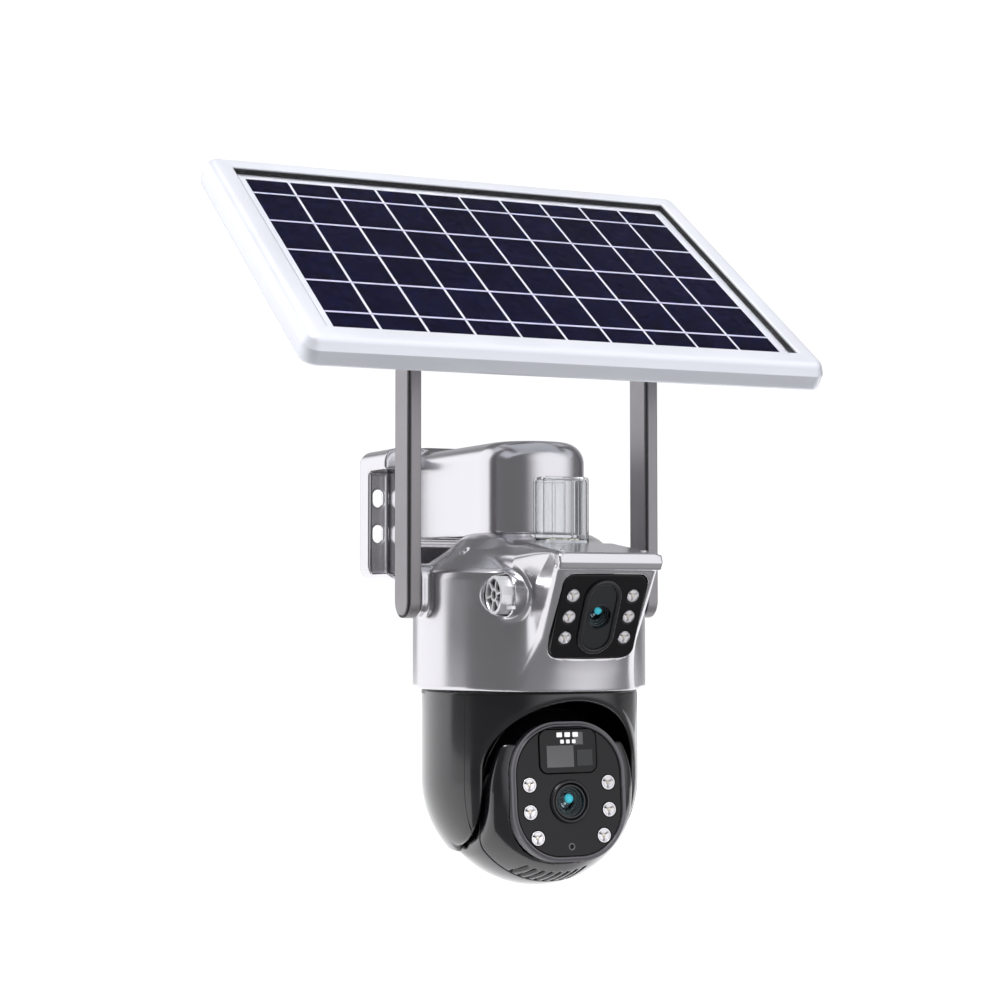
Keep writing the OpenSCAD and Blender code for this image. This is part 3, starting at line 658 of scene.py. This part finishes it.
def yoke(p):
    """The yoke as moulded: front arch, inside, opening for the ball and pivot holes."""
    x, y, z = p
    outer = yoke_round(p, YOKE_R)
    shape = smooth_max(smooth_max(outer, z + 0.5, 1.6), -91 - z, 1.2)
    arch = length(x, np.maximum(z - ARCH_Z, 0) * OPENING / ARCH_RISE) - OPENING
    shape = cut(shape, np.maximum(arch, y + 10), 7.0)
    inner = np.maximum(np.maximum(yoke_round(p, YOKE_R - WALL), np.abs(x) - OPENING), z + 4)
    shape = cut(shape, inner, 0.8)
    lower = np.maximum(np.maximum(np.abs(x) - OPENING, z - ARCH_Z), y - 12)
    shape = cut(shape, lower, 1.2)
    for s in (-1, 1):
        hole = prism(length(y - TILT_C[1], z - TILT_C[2]) - YOKE_HOLE_R, s * x, 40, 52.3)
        shape = cut(shape, hole)
    return cut(shape, np.maximum(length(x, y) - 7, z - 5))


def tube(build, path, r, sides=8):
    """A thin tube along points, closed by its end rings."""
    path = [Vector(q) for q in path]
    rings = []
    for i, q in enumerate(path):
        t = (path[min(i + 1, len(path) - 1)] - path[max(i - 1, 0)]).normalized()
        u = t.orthogonal().normalized() if not rings else (u - t * u.dot(t)).normalized()
        v = t.cross(u)
        rings.append([tuple(q + u * (r * math.cos(a)) + v * (r * math.sin(a)))
                      for a in (2 * math.pi * k / sides for k in range(sides))])
    return build.loft(rings)


def make_yoke():
    low, high = box_mm("yoke_shell")
    moulded("yoke_body", yoke, low, high, 0.75, "yoke", BLACK, ("yoke_shell",))
    build = Build()
    for s in (-1, 1):
        start = math.atan2(-29.6, s * 53.5)
        x, y = YOKE_R * math.cos(start), YOKE_R * math.sin(start)
        path = [(x, y, z) for z in np.linspace(-2.5, DOME_Z, 16)]
        path += [(x * math.cos(b), y * math.cos(b), DOME_Z - YOKE_R * math.sin(b))
                 for b in np.linspace(0.05, 0.5, 14)]
        tube(build, path, 0.22)
    build.piece("yoke_mould_lines", "yoke", "black_shell", BLACK)


# ---------------- ball head
def face_local(p):
    """Coordinates in the face's frame: x, up the face, out of it."""
    y, z = p[1] - FACE.origin[1], p[2] - FACE.origin[2]
    s, c = math.sin(FACE_TILT), math.cos(FACE_TILT)
    return p[0], s * y + c * z, -c * y + s * z


def ball_solid(p):
    """The ball without its inside: wide below, narrower crown above, flat cheeks and front."""
    x, y, z = p
    dy, dz = y - TILT_C[1], z - TILT_C[2]
    away = length(x, dy, dz)
    # above the plane through the tilt axis whose normal leans 35 degrees to the back
    height = 0.574 * dy + 0.819 * dz
    lower = smooth_max(away - BALL_R, height, 2.0)
    lower = smooth_max(lower, 0.933 * (np.abs(x) - CHEEK_TOP) + 0.361 * (height + 8), 2.0)
    solid = smooth_min(lower, away - CROWN_R, 3.0)
    solid = smooth_max(solid, np.abs(x) - CHEEK, 3.0)
    return smooth_max(solid, face_local(p)[2] + 0.5, 11.0)


def cut_vents(shape, p):
    """A row of slanted slots under the chin."""
    x, y, z = p
    a = math.radians(28)
    for k in range(-4, 4):
        u, v = x + 2.5 - k * 5.0, y + 34
        along, across = -u * math.sin(a) + v * math.cos(a), u * math.cos(a) + v * math.sin(a)
        slot = prism(capsule_2d(across, along, -5.5, 5.5, 1.1), z, -125, -85)
        shape = cut(shape, slot, 0.4)
    return shape


def ball(p, front):
    """Front or rear shell of the ball."""
    x, y, z = p
    solid = ball_solid(p)
    shape = cut(solid, solid + BALL_WALL)
    u, v, w = face_local(p)
    shape = cut(shape, np.maximum(round_rect_2d(u, v, *[a + 0.3 for a in FACE_SIZE]), -9 - w))
    for s in (-1, 1):
        hole = prism(length(y - TILT_C[1], z - TILT_C[2]) - BALL_HOLE_R, s * x, 30, 60)
        shape = cut(shape, hole)
    if front:
        return smooth_max(cut_vents(shape, p), y + 28.15, 0.5)
    return smooth_max(shape, -27.85 - y, 0.5)


FACE_LEDS = [(s * x, y) for x, y in ((24.1, 4.2), (24.1, -10.6), (20.2, -24.6)) for s in (-1, 1)]
WINDOW_LEDS = [(x, k * 12.3) for x in (-17.9, 17.9) for k in (-1, 0, 1)]


def face_plate(p):
    """Black face with its sensor window, lens hole and lamp holes."""
    x, y, z = p
    w, h, r = (FACE_SIZE[0] - 6.0, FACE_SIZE[1] - 6.0, FACE_SIZE[2] - 3.0)
    shape = prism(round_rect_2d(x, y, w, h, r), z, -5, 0.0, 0.6)
    shape = cut(shape, prism(round_rect_2d(x, y - 22, 35.4, 24.4, 5), z, -1.9, 4), 0.5)
    shape = cut(shape, prism(length(x, y + 5.5) - 9.9, z, -9, 4), 0.4)
    for cx, cy in FACE_LEDS:
        shape = cut(shape, length(x - cx, y - cy) - (HEAD_LED_R + 0.25), 0.5)
    return cut(shape, prism(length(x, y + 30) - 1.2, z, -1.2, 4), 0.4)


def lamps(prefix, node, chips, places, place, body, r):
    """Reflector cups with three-petalled lenses and a small dome."""
    cups, petals, domes = Build(), Build(), Build()
    for cx, cy in places:
        cups.lathe([(1.3, -3.4), (r, -3.4), (r, 0.12), (r - 0.12, 0.28), (r - 0.45, 0.28), (r - 0.55, 0.1),
                    (1.35, -2.9)], (cx, cy), 36)
        for k in range(3):
            mid = math.radians(90 + 120 * k)
            rings = []
            for lift, inner, outer, spread in ((-1.6, 0.9, r - 0.75, 46), (-0.45, 0.9, r - 0.62, 48),
                                               (0.0, 1.15, r - 0.95, 44), (0.12, 1.5, r - 1.4, 36)):
                a0, a1 = mid - math.radians(spread), mid + math.radians(spread)
                outside = [(cx + outer * math.cos(a), cy + outer * math.sin(a), lift)
                           for a in np.linspace(a0, a1, 9)]
                inside = [(cx + inner * math.cos(a), cy + inner * math.sin(a), lift - 0.25)
                          for a in np.linspace(a1, a0, 5)]
                rings.append(outside + inside)
            petals.loft(rings)
        domes.lathe([(0.85, -2.8)] + [(0.85 * math.cos(t), -0.6 + 0.85 * math.sin(t))
                                      for t in np.linspace(0, 1.45, 6)], (cx, cy), 20)
    cups.piece(prefix + "_lamp_cups", body, "led_reflector", MIRROR, (node,), place)
    petals.piece(prefix + "_lamp_lenses", body, "led_chip", PETAL, (), place, 50)
    domes.piece(prefix + "_lamp_domes", body, "led_chip", CHIP, (chips,), place, 60)


def lens_unit(prefix, centre, r, place, body, glass_node, barrel_node):
    """Stepped barrel, front glass, a glowing cyan dome as a painted glint, dark pupil, and white spots inside
    as painted highlights.
    """
    barrel = Build()
    barrel.lathe([(r + 1.3, -22), (r + 1.3, 0.5), (r + 0.9, 0.95), (r + 0.15, 0.95), (r, 0.6), (r, -1.6),
                  (r * 0.86, -1.8), (r * 0.84, -2.6), (r * 0.70, -2.9), (r * 0.68, -3.7), (r * 0.56, -4.0),
                  (r * 0.54, -7.0), (r * 0.5, -7.0), (r * 0.5, -22)], centre, 72, close=True)
    barrel.piece(prefix + "_barrel", body, "black_satin", SATIN, (barrel_node,), place)
    glass = Build()
    bulge = [(r * 0.97 * math.sin(t), -1.5 + 6.5 * (math.cos(t) - 0.79)) for t in np.linspace(0.66, 0.0, 9)]
    top = [(q * r * 0.97 / bulge[0][0], h) for q, h in bulge]
    glass.lathe([(r * 0.97, -1.9)] + top[:-1] + [(0.05, top[-1][1])], centre, 72)
    glass.piece(prefix + "_front_glass", body, "lens_glass", GLASS, (glass_node,), place, 60)
    # Glowing cyan dome, set off towards the upper right of the lens as a painted glint.
    inner = Build()
    dome = [(r * 0.31 * math.cos(t), -4.6 + r * 0.16 * math.sin(t)) for t in np.linspace(0.0, 1.5, 8)]
    inner.lathe([(r * 0.31, -5.4)] + dome, (centre[0] + r * 0.2, centre[1] + r * 0.2), 32)
    inner.piece(prefix + "_cyan_glint_dome", body, "lens_glass", PAINTED_CYAN_GLINT, (), place, 60)
    pupil = Build()
    pupil.lathe([(r * 0.56, -6.2)] + [(r * 0.56 * math.cos(t), -5.6 + r * 0.12 * math.sin(t))
                                      for t in np.linspace(0.0, 1.5, 8)], centre, 40)
    pupil.piece(prefix + "_pupil", body, "lens_glass", PUPIL, (), place, 60)
    # A white spot and a short arc inside the lens, in the lamp-lens white, as painted highlights.
    glint = Build()
    spot = [(r * 0.09 * math.cos(t), -4.4 + r * 0.06 * math.sin(t)) for t in np.linspace(0.0, 1.5, 6)]
    glint.lathe([(r * 0.09, -5.2)] + spot, (centre[0] - r * 0.12, centre[1] - r * 0.12), 20)
    arc = [(centre[0] + r * 0.38 * math.cos(a), centre[1] + r * 0.38 * math.sin(a), -4.7)
           for a in np.linspace(math.radians(195), math.radians(240), 8)]
    tube(glint, arc, r * 0.055, 8)
    glint.piece(prefix + "_painted_highlights", body, "lens_glass", PETAL, (), place, 60)


def make_ball():
    low, high = box_mm("head_rear_shell")
    moulded("ball_rear", lambda p: ball(p, False), low, high, 0.75, "head", BLACK,
            ("head_rear_shell",))
    low, high = box_mm("head_front_shell")
    moulded("ball_front", lambda p: ball(p, True), low - (0, 3, 0), high, 0.6, "head", BLACK,
            ("head_front_shell",))


def make_face():
    w, h, _ = FACE_SIZE
    moulded("face_panel", face_plate, (-w / 2, -h / 2, -5), (w / 2, h / 2, 0), FINE, "head",
            PIANO, ("face_plate",), FACE)
    rim = Build()
    profile = [(-2.9, -6), (-2.9, -0.6), (-2.7, 0.1)] + arc_points(-2.05, 0.25, 0.6, 160, 20, 6)
    profile += [(-1.3, -0.1), (-1.0, -0.25), (0, -0.25), (0, -6)]
    rect_sweep(rim, FACE_SIZE, profile, arc=20)
    rim.piece("face_border", "head", "black_satin", RIM_GREY_AND_HIGHLIGHT, ("face_rim",), FACE)


def face_pad(name, slot, material, low, high):
    """A thin block on the sensor window."""
    pad = Build()
    pad.box(low, high, 0.15)
    pad.piece(name, "head", slot, material, (), FACE)


def make_sensor_window():
    cover = Build()
    rings = [(0, -1.8), (0, 0.1), (-0.35, 0.42), (-1.0, 0.5), (-1.4, 0.3), (-1.8, 0.25)]
    rect_sweep(cover, (34.8, 23.9, 4.9), rings, close=False, centre=(0, 22))
    cover.piece("sensor_cover", "head", "black_window", PIANO, ("sensor_window",), FACE)
    face_pad("sensor_pad", "motor_can", SENSOR, (-13.2, 13.2, 0.2), (3.4, 25.2, 0.55))
    face_pad("sensor_pad_dark", "black_window", TINTED, (5.2, 13.6, 0.2), (15.0, 22.8, 0.5))
    face_pad("flood_lamp_board", "motor_can", SENSOR, (3.6, 25.4, 0.2), (9.4, 32.4, 0.5))
    flood = Build()
    for i in range(3):
        flood.box((-6.8 + 4.9 * i, 29.7, 0.2), (-3.4 + 4.9 * i, 32.3, 0.95), 0.35)
        flood.box((-4.6 + 3.6 * i, 26.2, 0.2), (-2.4 + 3.6 * i, 28.3, 0.8), 0.3)
    flood.piece("flood_lamps", "head", "led_chip", FLOOD, (), FACE)


def make_head_lens():
    ring = Build()
    profile = [(9.9, 0.02), (12.0, 0.02), (12.0, 0.9), (11.6, 1.6), (11.0, 1.9), (10.4, 1.8), (9.95, 1.2)]
    ring.lathe(profile, (0, -5.5), 72, close=True)
    ring.piece("lens_ring", "head", "black_satin", SATIN, ("head_lens_ring",), FACE)
    lens_unit("head_lens", (0, -5.5), 8.2, FACE, "head", "head_lens_glass", "head_lens_barrel")
    lamps("head", "head_led_reflectors", "head_led_chips", FACE_LEDS, FACE, "head", HEAD_LED_R)
    eye = Build()
    eye.lathe([(1.15, -1.1), (2.0, 0.02), (2.0, 0.3), (1.7, 0.45), (1.3, 0.3)], (0, -30), 28, close=True)
    eye.piece("light_sensor_ring", "head", "motor_can", SENSOR, (), FACE)


# ---------------- fixed lens and window
def window_plate(p):
    """Black window with its lens hole and lamp holes."""
    x, y, z = p
    w, h, r = WINDOW_SIZE
    shape = prism(round_rect_2d(x, y, w, h, r), z, -2.6, 0.0, 0.5)
    shape = cut(shape, length(x, y) - 8.15)
    for cx, cy in WINDOW_LEDS:
        shape = cut(shape, length(x - cx, y - cy) - (LED_R + 0.25), 0.5)
    return shape


def lens_cover(p):
    """Tinted strip with rounded ends round the fixed lens."""
    x, y, z = p
    flat = capsule_2d(x, y, -10.85, 10.85, 8.15)
    return cut(prism(flat, z, 0.02, 0.75, 0.3), length(x, y) - 6.6, 0.5)


def make_window():
    w, h, _ = WINDOW_SIZE
    moulded("window_panel", window_plate, (-w / 2, -h / 2, -2.6), (w / 2, h / 2, 0), FINE, "housing",
            PIANO, ("fixed_window",), WINDOW)
    bezel = Build()
    profile = [(0, 0.02)] + arc_points(-1.1, 0.75, 1.1, 0, 90, 5) + arc_points(-2.1, 1.25, 0.6, 90, 180, 4)
    profile += [(-2.9, 0.7), (-2.9, 0.02)]
    rect_sweep(bezel, (21.7, 43.4, 10.84), profile, arc=16)
    bezel.piece("lens_bezel", "housing", "black_satin", SATIN, ("fixed_lens_bezel",), WINDOW)
    moulded("lens_cover", lens_cover, (-8.5, -19.3, 0), (8.5, 19.3, 0.8), 0.3, "housing",
            TINTED, (), WINDOW)
    lens_unit("fixed_lens", (0, 0), 6.5, WINDOW, "housing", "fixed_lens_glass", "fixed_lens_barrel")
    lamps("window", "fixed_led_reflectors", "fixed_led_chips", WINDOW_LEDS, WINDOW, "housing", LED_R)


# ---------------- loudspeaker and warning light
def on_circle(radius, degrees):
    a = math.radians(degrees)
    return radius * math.cos(a), radius * math.sin(a)


def make_speaker():
    side = Place()
    side.turn = np.array([[0, 0, -1], [-1, 0, 0], [0, 1, 0]], float)
    side.origin = np.array([box_mm("speaker_grille")[0][0], SPEAKER[1], SPEAKER[2]])
    r = SPEAKER_R
    drum = Build()
    drum.lathe([(r - 1.7, -1.6), (r - 1.7, -0.5), (r - 1.4, -0.05), (r - 0.5, 0), (r, -0.4), (r, -9),
                (r - 1.7, -9)], (0, 0), 14, close=True)
    for k in range(6):
        middle_angle = 60 * k + 10
        tip, root = on_circle(r - 1.5, middle_angle), on_circle(3.5, middle_angle)
        nx, ny = on_circle(0.6, middle_angle + 90)
        foot = [(root[0] - nx, root[1] - ny), (tip[0] - nx, tip[1] - ny), (tip[0] + nx, tip[1] + ny),
                (root[0] + nx, root[1] + ny)]
        drum.loft([[(u, v, z) for u, v in foot] for z in (-1.9, -0.6)])
        first, last = middle_angle - 30, middle_angle + 30
        hub = [on_circle(2.8, first), on_circle(4.0, first), on_circle(4.0, last), on_circle(2.8, last)]
        drum.loft([[(u, v, z) for u, v in hub] for z in (-1.9, -0.5)])
    drum.box((9.0, -7.8, -6.4), (15.4, -5.8, -3.4), 0.3)
    drum.piece("speaker_drum", "housing", "speaker", BRIGHT, ("speaker_grille",), side, 20)
    cloth = Build()
    cloth.lathe([(r - 1.5, -4.2), (r - 1.5, -2.6), (r - 2.2, -2.3), (0.05, -2.3)], (0, 0), 40)
    cloth.piece("speaker_cloth", "housing", "speaker", SOOT, (), side)


def make_beacon():
    low, high = box_mm("beacon_cover")
    w, d, _ = high - low
    centre = ((low[0] + high[0]) / 2, (low[1] + high[1]) / 2)

    def outline(z, inset):
        ring = []
        for x, y, _ in rect_ring(w - 2 * inset, d - 2 * inset, 4.2 - min(inset, 1.6), 0, (0, 0), 12):
            ring.append((centre[0] + x, centre[1] + y, z))
        return ring

    outside = [(0.4, low[2]), (0.4, high[2] - 2.0)]
    outside += [(0.4 + 1.8 * (1 - math.cos(t)), high[2] - 2.0 + 1.8 * math.sin(t))
                for t in (0.4, 0.8, 1.2, 1.5)]
    inside = [(1.7 + 1.1 * (1 - math.cos(t)), high[2] - 2.9 + 1.3 * math.sin(t))
              for t in (1.5, 0.8, 0.0)]
    inside += [(1.7, low[2])]
    cover = Build()
    cover.loft([outline(z, i) for i, z in outside + inside], close=True)
    ribs_y = centre[1] - (d / 2 - 0.62)
    for x in (3.2, -9.0):
        ring = [(centre[0] + x + 1.1 * math.cos(a), ribs_y + 0.6 * math.sin(a)) for a in
                (2 * math.pi * k / 14 for k in range(14))]
        cover.loft([[(u, v, z) for u, v in ring] for z in (low[2] + 0.6, high[2] - 2.4)])
    cover.piece("beacon_lens", "housing", "clear_cover", CLEAR, ("beacon_cover",), HOME, 40)


# ---------------- solar arms
def make_arms():
    notch = 1.5
    for node, name in (("left_arm", "left_solar_arm"), ("right_arm", "right_solar_arm")):
        low, high = box_mm(node)
        x0, x1 = low[0], high[0]
        half = (high[1] - low[1]) / 2

        def bar(p, x0=x0, x1=x1, half=half):
            x, y, z = p
            flat = capsule_2d(y, z, PIVOT_Z, HINGE_Z, half)
            shape = prism(flat, x, x0, x1, 0.9)
            edge = capsule_2d(y, z, PIVOT_Z, HINGE_Z, half - notch)
            rim = np.maximum(np.maximum(x - x0 - notch, -edge), y - 0.3 * half)
            shape = cut(shape, rim, 0.3)
            inner = -4.2 if x0 > 0 else 2.6
            pivot = np.maximum(length(y, z - PIVOT_Z) - 3.05, np.abs(x - (x0 + x1) / 2 - inner) - 4.2)
            return cut(cut(shape, length(y, z - HINGE_Z) - 3.05), pivot)

        moulded(name, bar, low, high, 0.6, "solar_arms", ARM, (node,))
    trims = Build()
    for node in ("left_arm", "right_arm"):
        low, high = box_mm(node)
        half = (high[1] - low[1]) / 2
        path = [(low[0] + 0.85, -(half - 0.75), z) for z in (HINGE_Z, (HINGE_Z + PIVOT_Z) / 2)]
        path += [(low[0] + 0.85, -(half - 0.75) * math.cos(a), PIVOT_Z - (half - 0.75) * math.sin(a))
                 for a in np.linspace(0, 1.9, 16)]
        tube(trims, path, 0.62, 10)
    trims.piece("arm_edge_trims", "solar_arms", "black_satin", GROOVE, ("arm_trims",))


# ---------------- solar panel
def make_panel_frame():
    face = FRAME_FACE
    rail = Build()
    profile = [(-face - 3, -17), (-face - 3, -7.1), (-face, -7.1), (-face, -0.9)]
    profile += arc_points(-face + 0.9, -0.9, 0.9, 180, 90, 4)
    profile += arc_points(-7.4, -6.0, 6.0, 88, 25, 7)
    profile += arc_points(-1.0, -7.6, 1.0, 40, 0, 3)
    profile += arc_points(-2.4, -14.6, 2.4, 0, -90, 5)
    rect_sweep(rail, PANEL_SIZE, profile, arc=14)
    rail.piece("panel_rim", "solar_panel", "panel_frame", ANODISED, ("panel_frame",), PANEL, 40)


def make_cells():
    sheet = Build()
    profile = [(0, -6.9), (0, -5.4), (-0.1, -5.3)]
    rect_sweep(sheet, (INNER_W - 0.4, INNER_L - 0.4, 1.8), profile, close=False, arc=4)
    sheet.piece("cell_backing", "solar_panel", "backsheet", BACKSHEET, ("panel_backsheet",), PANEL)
    margin, gap, columns, rows = 7.0, 1.7, 10, 5
    field_w, field_l = INNER_W - 2 * margin, INNER_L - 2 * margin
    pitch = (field_w + gap) / columns
    row = field_l / rows
    cells, bars = Build(), Build()
    for k in range(columns):
        x0 = k * pitch - field_w / 2
        cells.box((x0, -field_l / 2, -5.28), (x0 + pitch - gap, field_l / 2, -5.02), 0.05)
    for k in range(rows):
        y = -field_l / 2 + row * (k + 0.5)
        bars.box((-field_w / 2, y - 0.8, -5.2), (field_w / 2, y + 0.8, -4.94), 0.04)
    cells.piece("cell_strips", "solar_panel", "solar_cell", CELL, ("panel_cells",), PANEL)
    bars.piece("cell_busbars", "solar_panel", "steel", BUSBAR, (), PANEL)


def make_panel_cover():
    glass = Build()
    profile = [(-0.3, -4.88), (0, -4.6), (0, -2.4), (-0.4, -2.1)]
    rect_sweep(glass, (INNER_W - 2.8, INNER_L - 2.8, 1.2), profile, close=False, arc=4)
    glass.piece("cover_glass", "solar_panel", "panel_glass", PANEL_GLASS, ("panel_glass",), PANEL)
    seal = Build()
    profile = [(0, -4.9), (0, -1.4), (-0.2, -1.2), (-0.6, -1.3), (-0.8, -1.9), (-0.8, -4.9)]
    rect_sweep(seal, (INNER_W - 0.3, INNER_L - 0.3, 1.8), profile, arc=4)
    seal.piece("glass_seal", "solar_panel", "rubber_seal", RUBBER, ("panel_seal",), PANEL)


# ---------------- CAD nodes that keep their shape
def dress_nodes():
    finishes = {
        STEEL: ("bracket_screws", "base_plate_screws", "arm_pivot_bolts", "panel_hinge_pins", "charge_port"),
        ZINC: ("pan_motor", "tilt_motor", "pir_sensor"),
        NYLON: ("pan_gear", "tilt_gear", "tilt_pivot", "pan_pinion", "tilt_pinion", "pan_bush", "thrust_washer",
                "base_plate"),
        RUBBER: ("housing_seal", "window_seal", "port_plug"),
        BOARD: ("fixed_lens_board", "head_board", "main_board"),
        BACKSHEET: ("beacon_board",),
        CHIP: ("beacon_leds",),
        WRAP: ("battery_cells",),
        ARM: ("panel_rails", "panel_brackets"),
        SATIN: ("junction_box", "reset_button"),
        SOOT: ("speaker_driver",),
    }
    for material, names in finishes.items():
        for name in names:
            node = frame["nodes"][name]
            node.data.materials.clear()
            node.data.materials.append(material)


# ---------------- stage, lights and camera
def make_floor():
    """A pale floor, level and far wider than the object."""
    level = -0.62
    mesh = bpy.data.meshes.new("floor")
    corners = [(-7, -0.2, level), (7, -0.2, level), (7, 14, level), (-7, 14, level)]
    mesh.from_pydata(corners, [], [(0, 1, 2, 3)])
    floor = bpy.data.objects.new("floor", mesh)
    bpy.context.scene.collection.objects.link(floor)
    mesh.materials.append(plastic("floor_paint", (0.95, 0.95, 0.95), 0.8, speck=0.004, bump=0.0))


def glow_patch(nodes, links, direction, azimuth, height, inner, outer, strength):
    """A soft-edged bright disc of sky, as a large studio softbox far away."""
    a, e = math.radians(azimuth), math.radians(height)
    dot = nodes.new("ShaderNodeVectorMath")
    dot.operation = "DOT_PRODUCT"
    dot.inputs[1].default_value = (math.sin(a) * math.cos(e), -math.cos(a) * math.cos(e), math.sin(e))
    links.new(direction, dot.inputs[0])
    edge = nodes.new("ShaderNodeMapRange")
    edge.interpolation_type = "SMOOTHSTEP"
    edge.inputs["From Min"].default_value = math.cos(math.radians(outer))
    edge.inputs["From Max"].default_value = math.cos(math.radians(inner))
    edge.inputs["To Max"].default_value = strength
    links.new(dot.outputs["Value"], edge.inputs["Value"])
    return edge.outputs["Result"]


def make_world():
    world = bpy.data.worlds.new("studio")
    bpy.context.scene.world = world
    world.use_nodes = True
    nodes, links = world.node_tree.nodes, world.node_tree.links
    direction = nodes.new("ShaderNodeTexCoord").outputs["Generated"]
    split = nodes.new("ShaderNodeSeparateXYZ")
    links.new(direction, split.inputs["Vector"])
    # even grey surroundings, a little brighter below
    total = remap(nodes, links, split.outputs["Z"], 0.30, 0.20, -0.35, -0.02)
    for azimuth, height, inner, outer, strength in STUDIO:
        part = glow_patch(nodes, links, direction, azimuth, height, inner, outer, strength)
        add = nodes.new("ShaderNodeMath")
        add.operation = "ADD"
        links.new(total, add.inputs[0])
        links.new(part, add.inputs[1])
        total = add.outputs["Value"]
    back = nodes["Background"]
    back.inputs["Color"].default_value = (0.97, 0.97, 1.0, 1)
    links.new(total, back.inputs["Strength"])
    seen = nodes.new("ShaderNodeBackground")
    seen.inputs["Color"].default_value = (1, 1, 1, 1)
    seen.inputs["Strength"].default_value = 1.05
    rays = nodes.new("ShaderNodeLightPath")
    mix = nodes.new("ShaderNodeMixShader")
    links.new(rays.outputs["Is Camera Ray"], mix.inputs["Fac"])
    links.new(back.outputs["Background"], mix.inputs[1])
    links.new(seen.outputs["Background"], mix.inputs[2])
    links.new(mix.outputs["Shader"], nodes["World Output"].inputs["Surface"])


# azimuth and height of each softbox's middle, its full and its outer radius in degrees, and its strength
STUDIO = ((-143, 12, 27, 34, 1.25), (26, 12, 20, 60, 1.15), (-60, 72, 16, 30, 2.0), (155, 0, 20, 40, 0.35))


def make_lights():
    a, e = math.radians(-60), math.radians(65)
    toward = Vector((math.sin(a) * math.cos(e), -math.cos(a) * math.cos(e), math.sin(e)))
    sun = bpy.data.lights.new("key_light", "SUN")
    sun.energy = 2.6
    sun.angle = math.radians(25)
    lamp = bpy.data.objects.new("key_light", sun)
    lamp.rotation_euler = (-toward).to_track_quat("-Z", "Y").to_euler()
    bpy.context.scene.collection.objects.link(lamp)


def make_camera():
    azimuth, pitch = math.radians(-25), math.radians(2.8)
    distance, sideways, lift = 1.26, -0.0165, 0.107
    ahead = Vector((-math.sin(azimuth) * math.cos(pitch), math.cos(azimuth) * math.cos(pitch),
                    math.sin(pitch)))
    right = Vector((math.cos(azimuth), math.sin(azimuth), 0))
    axis = Vector(AXIS / 1000)
    data = bpy.data.cameras.new("camera")
    data.lens, data.sensor_width = 79.2, 36.0
    camera = bpy.data.objects.new("camera", data)
    camera.location = axis - ahead * distance + right * sideways + Vector((0, 0, lift))
    camera.rotation_euler = ahead.to_track_quat("-Z", "Y").to_euler()
    bpy.context.scene.collection.objects.link(camera)
    bpy.context.scene.camera = camera


make_camera()
make_world()
make_lights()
make_floor()
dress_nodes()
make_housing()
make_bracket()
make_yoke()
make_ball()
make_face()
make_sensor_window()
make_head_lens()
make_window()
make_speaker()
make_beacon()
make_arms()
make_panel_frame()
make_cells()
make_panel_cover()
bpy.context.scene.view_settings.view_transform = "Standard"
